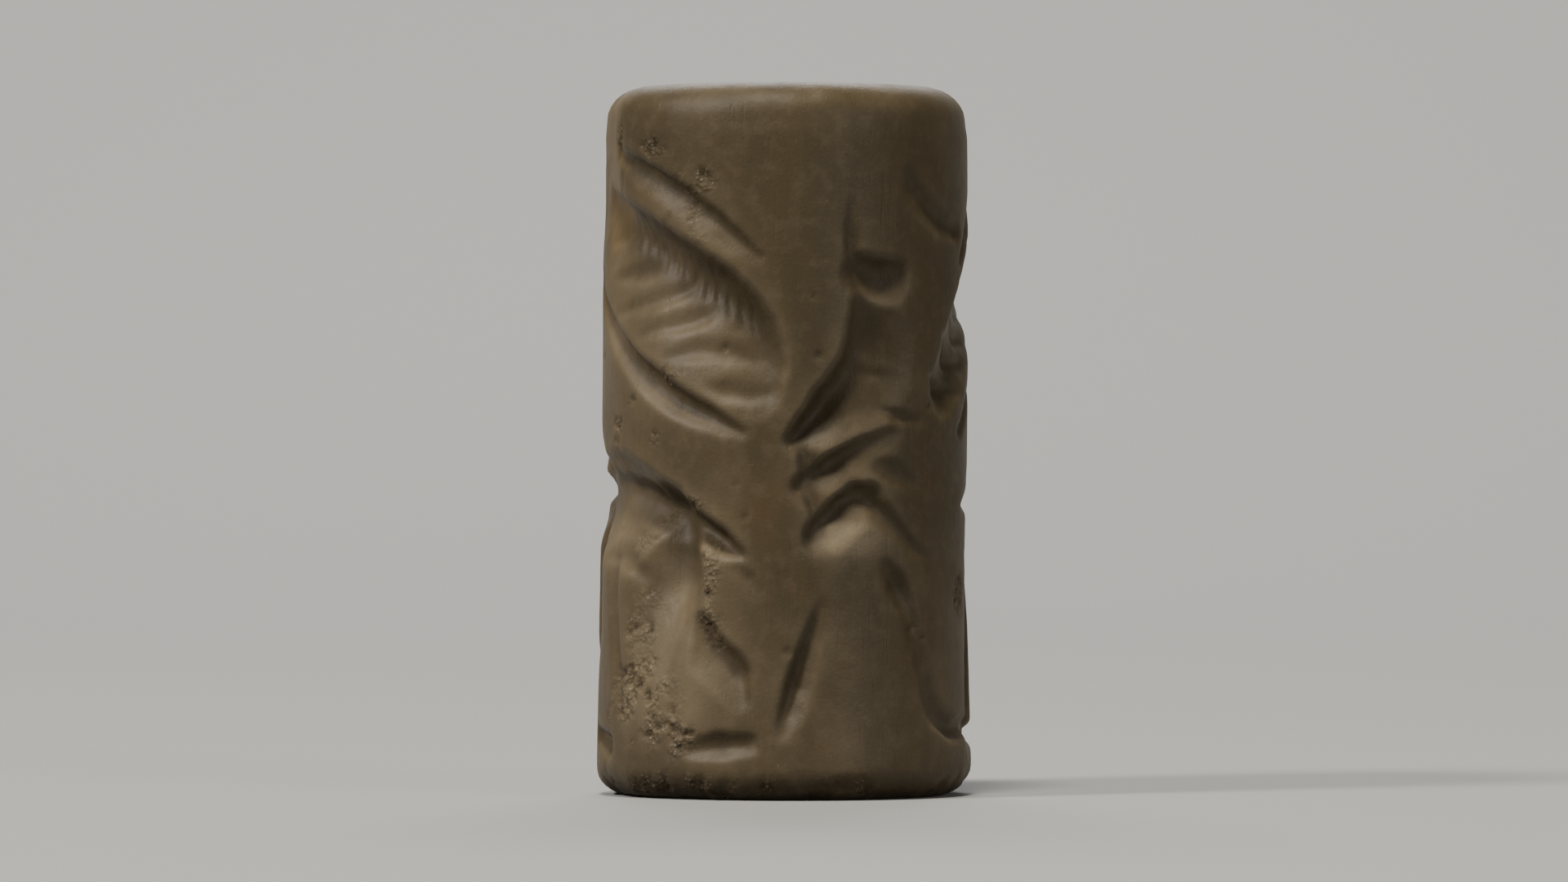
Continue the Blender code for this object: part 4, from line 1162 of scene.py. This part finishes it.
def fine_relief():
    """The height of what is too small for the mesh."""
    skin_grain = add_node(stone_tree, "ShaderNodeTexNoise", where, None, per_mm(0.12), 5.0, 0.65)
    grit = maths("ADD", grit_cells(COARSE_GRIT), maths("MULTIPLY", grit_cells(FINE_GRIT), -0.7))
    grit = maths("MULTIPLY", grit, maths("MULTIPLY", crumbled, 1.9))
    relief = maths("ADD", maths("MULTIPLY", skin_grain.outputs["Fac"], 0.5), grit)
    return maths("SUBTRACT", relief, maths("MULTIPLY", scratches(), 0.25))


bump = add_node(stone_tree, "ShaderNodeBump")
bump.inputs["Strength"].default_value = BUMP_STRENGTH
bump.inputs["Distance"].default_value = BUMP_HEIGHT * MM
stone_tree.links.new(fine_relief(), bump.inputs["Height"])
stone_tree.links.new(bump.outputs[0], shader.inputs["Normal"])
stone_tree.links.new(dullness(), shader.inputs["Roughness"])
shader.inputs["Specular IOR Level"].default_value = SPECULAR
print(f"The whole finish has {len(stone_tree.nodes)} nodes")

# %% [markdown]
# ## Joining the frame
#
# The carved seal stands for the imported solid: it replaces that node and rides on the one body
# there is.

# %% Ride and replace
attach(carved_seal, "root")
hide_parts("seal")
print("The carved seal replaces the solid")

# %% [markdown]
# ## Floor, light and camera
#
# The seal stands on a plain pale floor that curves up behind it. Shallow cuts only show in
# raking light. So one soft light stands at the upper left and one high in front, both a little
# warm: the bank of a cut that faces up is bright, and the bank that faces down is dark. Two
# weaker lights fill the right and the back. A pale floor would throw light up into the dark
# banks, so it is kept off the seal, as a photographer would with black card. The camera looks
# level at the middle of the seal with a long lens, which keeps the sides of the barrel parallel.

# %% The floor
FLOOR_HALF_WIDTH = 0.6
FLOOR_FRONT = -0.6
CURVE_START = 0.25
CURVE_RADIUS = 0.2
BACKDROP_TOP = 0.8
CURVE_STEPS = 24
PAPER_GREY = (0.42, 0.42, 0.41, 1)
PAPER_ROUGHNESS = 0.9


def backdrop():
    """A flat floor that curves up behind the seal."""
    bends = numpy.linspace(0, math.pi / 2, CURVE_STEPS + 1)
    line = [(FLOOR_FRONT, 0.0)]
    line += [(CURVE_START + CURVE_RADIUS * math.sin(t), CURVE_RADIUS * (1 - math.cos(t))) for t in bends]
    line.append((CURVE_START + CURVE_RADIUS, BACKDROP_TOP))
    points = [(x, y, z) for y, z in line for x in (-FLOOR_HALF_WIDTH, FLOOR_HALF_WIDTH)]
    faces = [(2 * k, 2 * k + 1, 2 * k + 3, 2 * k + 2) for k in range(len(line) - 1)]
    mesh = bpy.data.meshes.new("floor")
    mesh.from_pydata(points, [], faces)
    mesh.shade_smooth()
    paper = bpy.data.materials.new("pale paper")
    paper.use_nodes = True
    paper_shader = paper.node_tree.nodes["Principled BSDF"]
    paper_shader.inputs["Base Color"].default_value = PAPER_GREY
    paper_shader.inputs["Roughness"].default_value = PAPER_ROUGHNESS
    mesh.materials.append(paper)
    floor = bpy.data.objects.new("floor", mesh)
    bpy.context.scene.collection.objects.link(floor)
    return floor


floor = backdrop()
floor.visible_diffuse = False
print(f"The floor is {2 * FLOOR_HALF_WIDTH:.1f} m wide")

# %% The lights
WHITE = (1.0, 1.0, 1.0)
WARM_WHITE = (1.0, 0.97, 0.93)
WARMER_WHITE = (1.0, 0.94, 0.81)
STUDIO_TINT = (1.0, 0.97, 0.93, 1)
STUDIO_STRENGTH = 0.07
middle = Vector((0, 0, seal_height / 2))


def soft_light(name, place, size, watts, colour=WHITE):
    """A round soft light that points at the middle of the seal."""
    light = bpy.data.lights.new(name, "AREA")
    light.shape = "DISK"
    light.size = size
    light.energy = watts
    light.color = colour
    lamp = bpy.data.objects.new(name, light)
    lamp.location = place
    lamp.rotation_euler = (middle - Vector(place)).to_track_quat("-Z", "Y").to_euler()
    bpy.context.scene.collection.objects.link(lamp)


soft_light("left light", (-0.38, -0.24, 0.40), size=0.12, watts=2.5, colour=WARM_WHITE)
soft_light("top light", (-0.05, -0.19, 0.57), size=0.12, watts=2.45, colour=WARMER_WHITE)
soft_light("fill light", (0.40, -0.40, 0.16), size=0.3, watts=0.7)
soft_light("back light", (0.0, 0.42, 0.30), size=0.3, watts=1.6)
world = bpy.data.worlds.new("studio")
world.use_nodes = True
world.node_tree.nodes["Background"].inputs["Color"].default_value = STUDIO_TINT
world.node_tree.nodes["Background"].inputs["Strength"].default_value = STUDIO_STRENGTH
bpy.context.scene.world = world
print("Four soft lights and a dim studio")

# %% The camera
LENS = 200
SEAL_SHARE_OF_PICTURE = 0.8
SENSOR_HEIGHT = 36 * 1080 / 1920

camera_data = bpy.data.cameras.new("camera")
camera_data.lens = LENS
camera_data.clip_start = 0.01
camera = bpy.data.objects.new("camera", camera_data)
distance = seal_height / SEAL_SHARE_OF_PICTURE * LENS / SENSOR_HEIGHT
camera.location = (0, -distance, seal_height / 2)
camera.rotation_euler = (math.pi / 2, 0, 0)
bpy.context.scene.collection.objects.link(camera)
bpy.context.scene.camera = camera
print(f"The camera is {distance:.3f} m away")
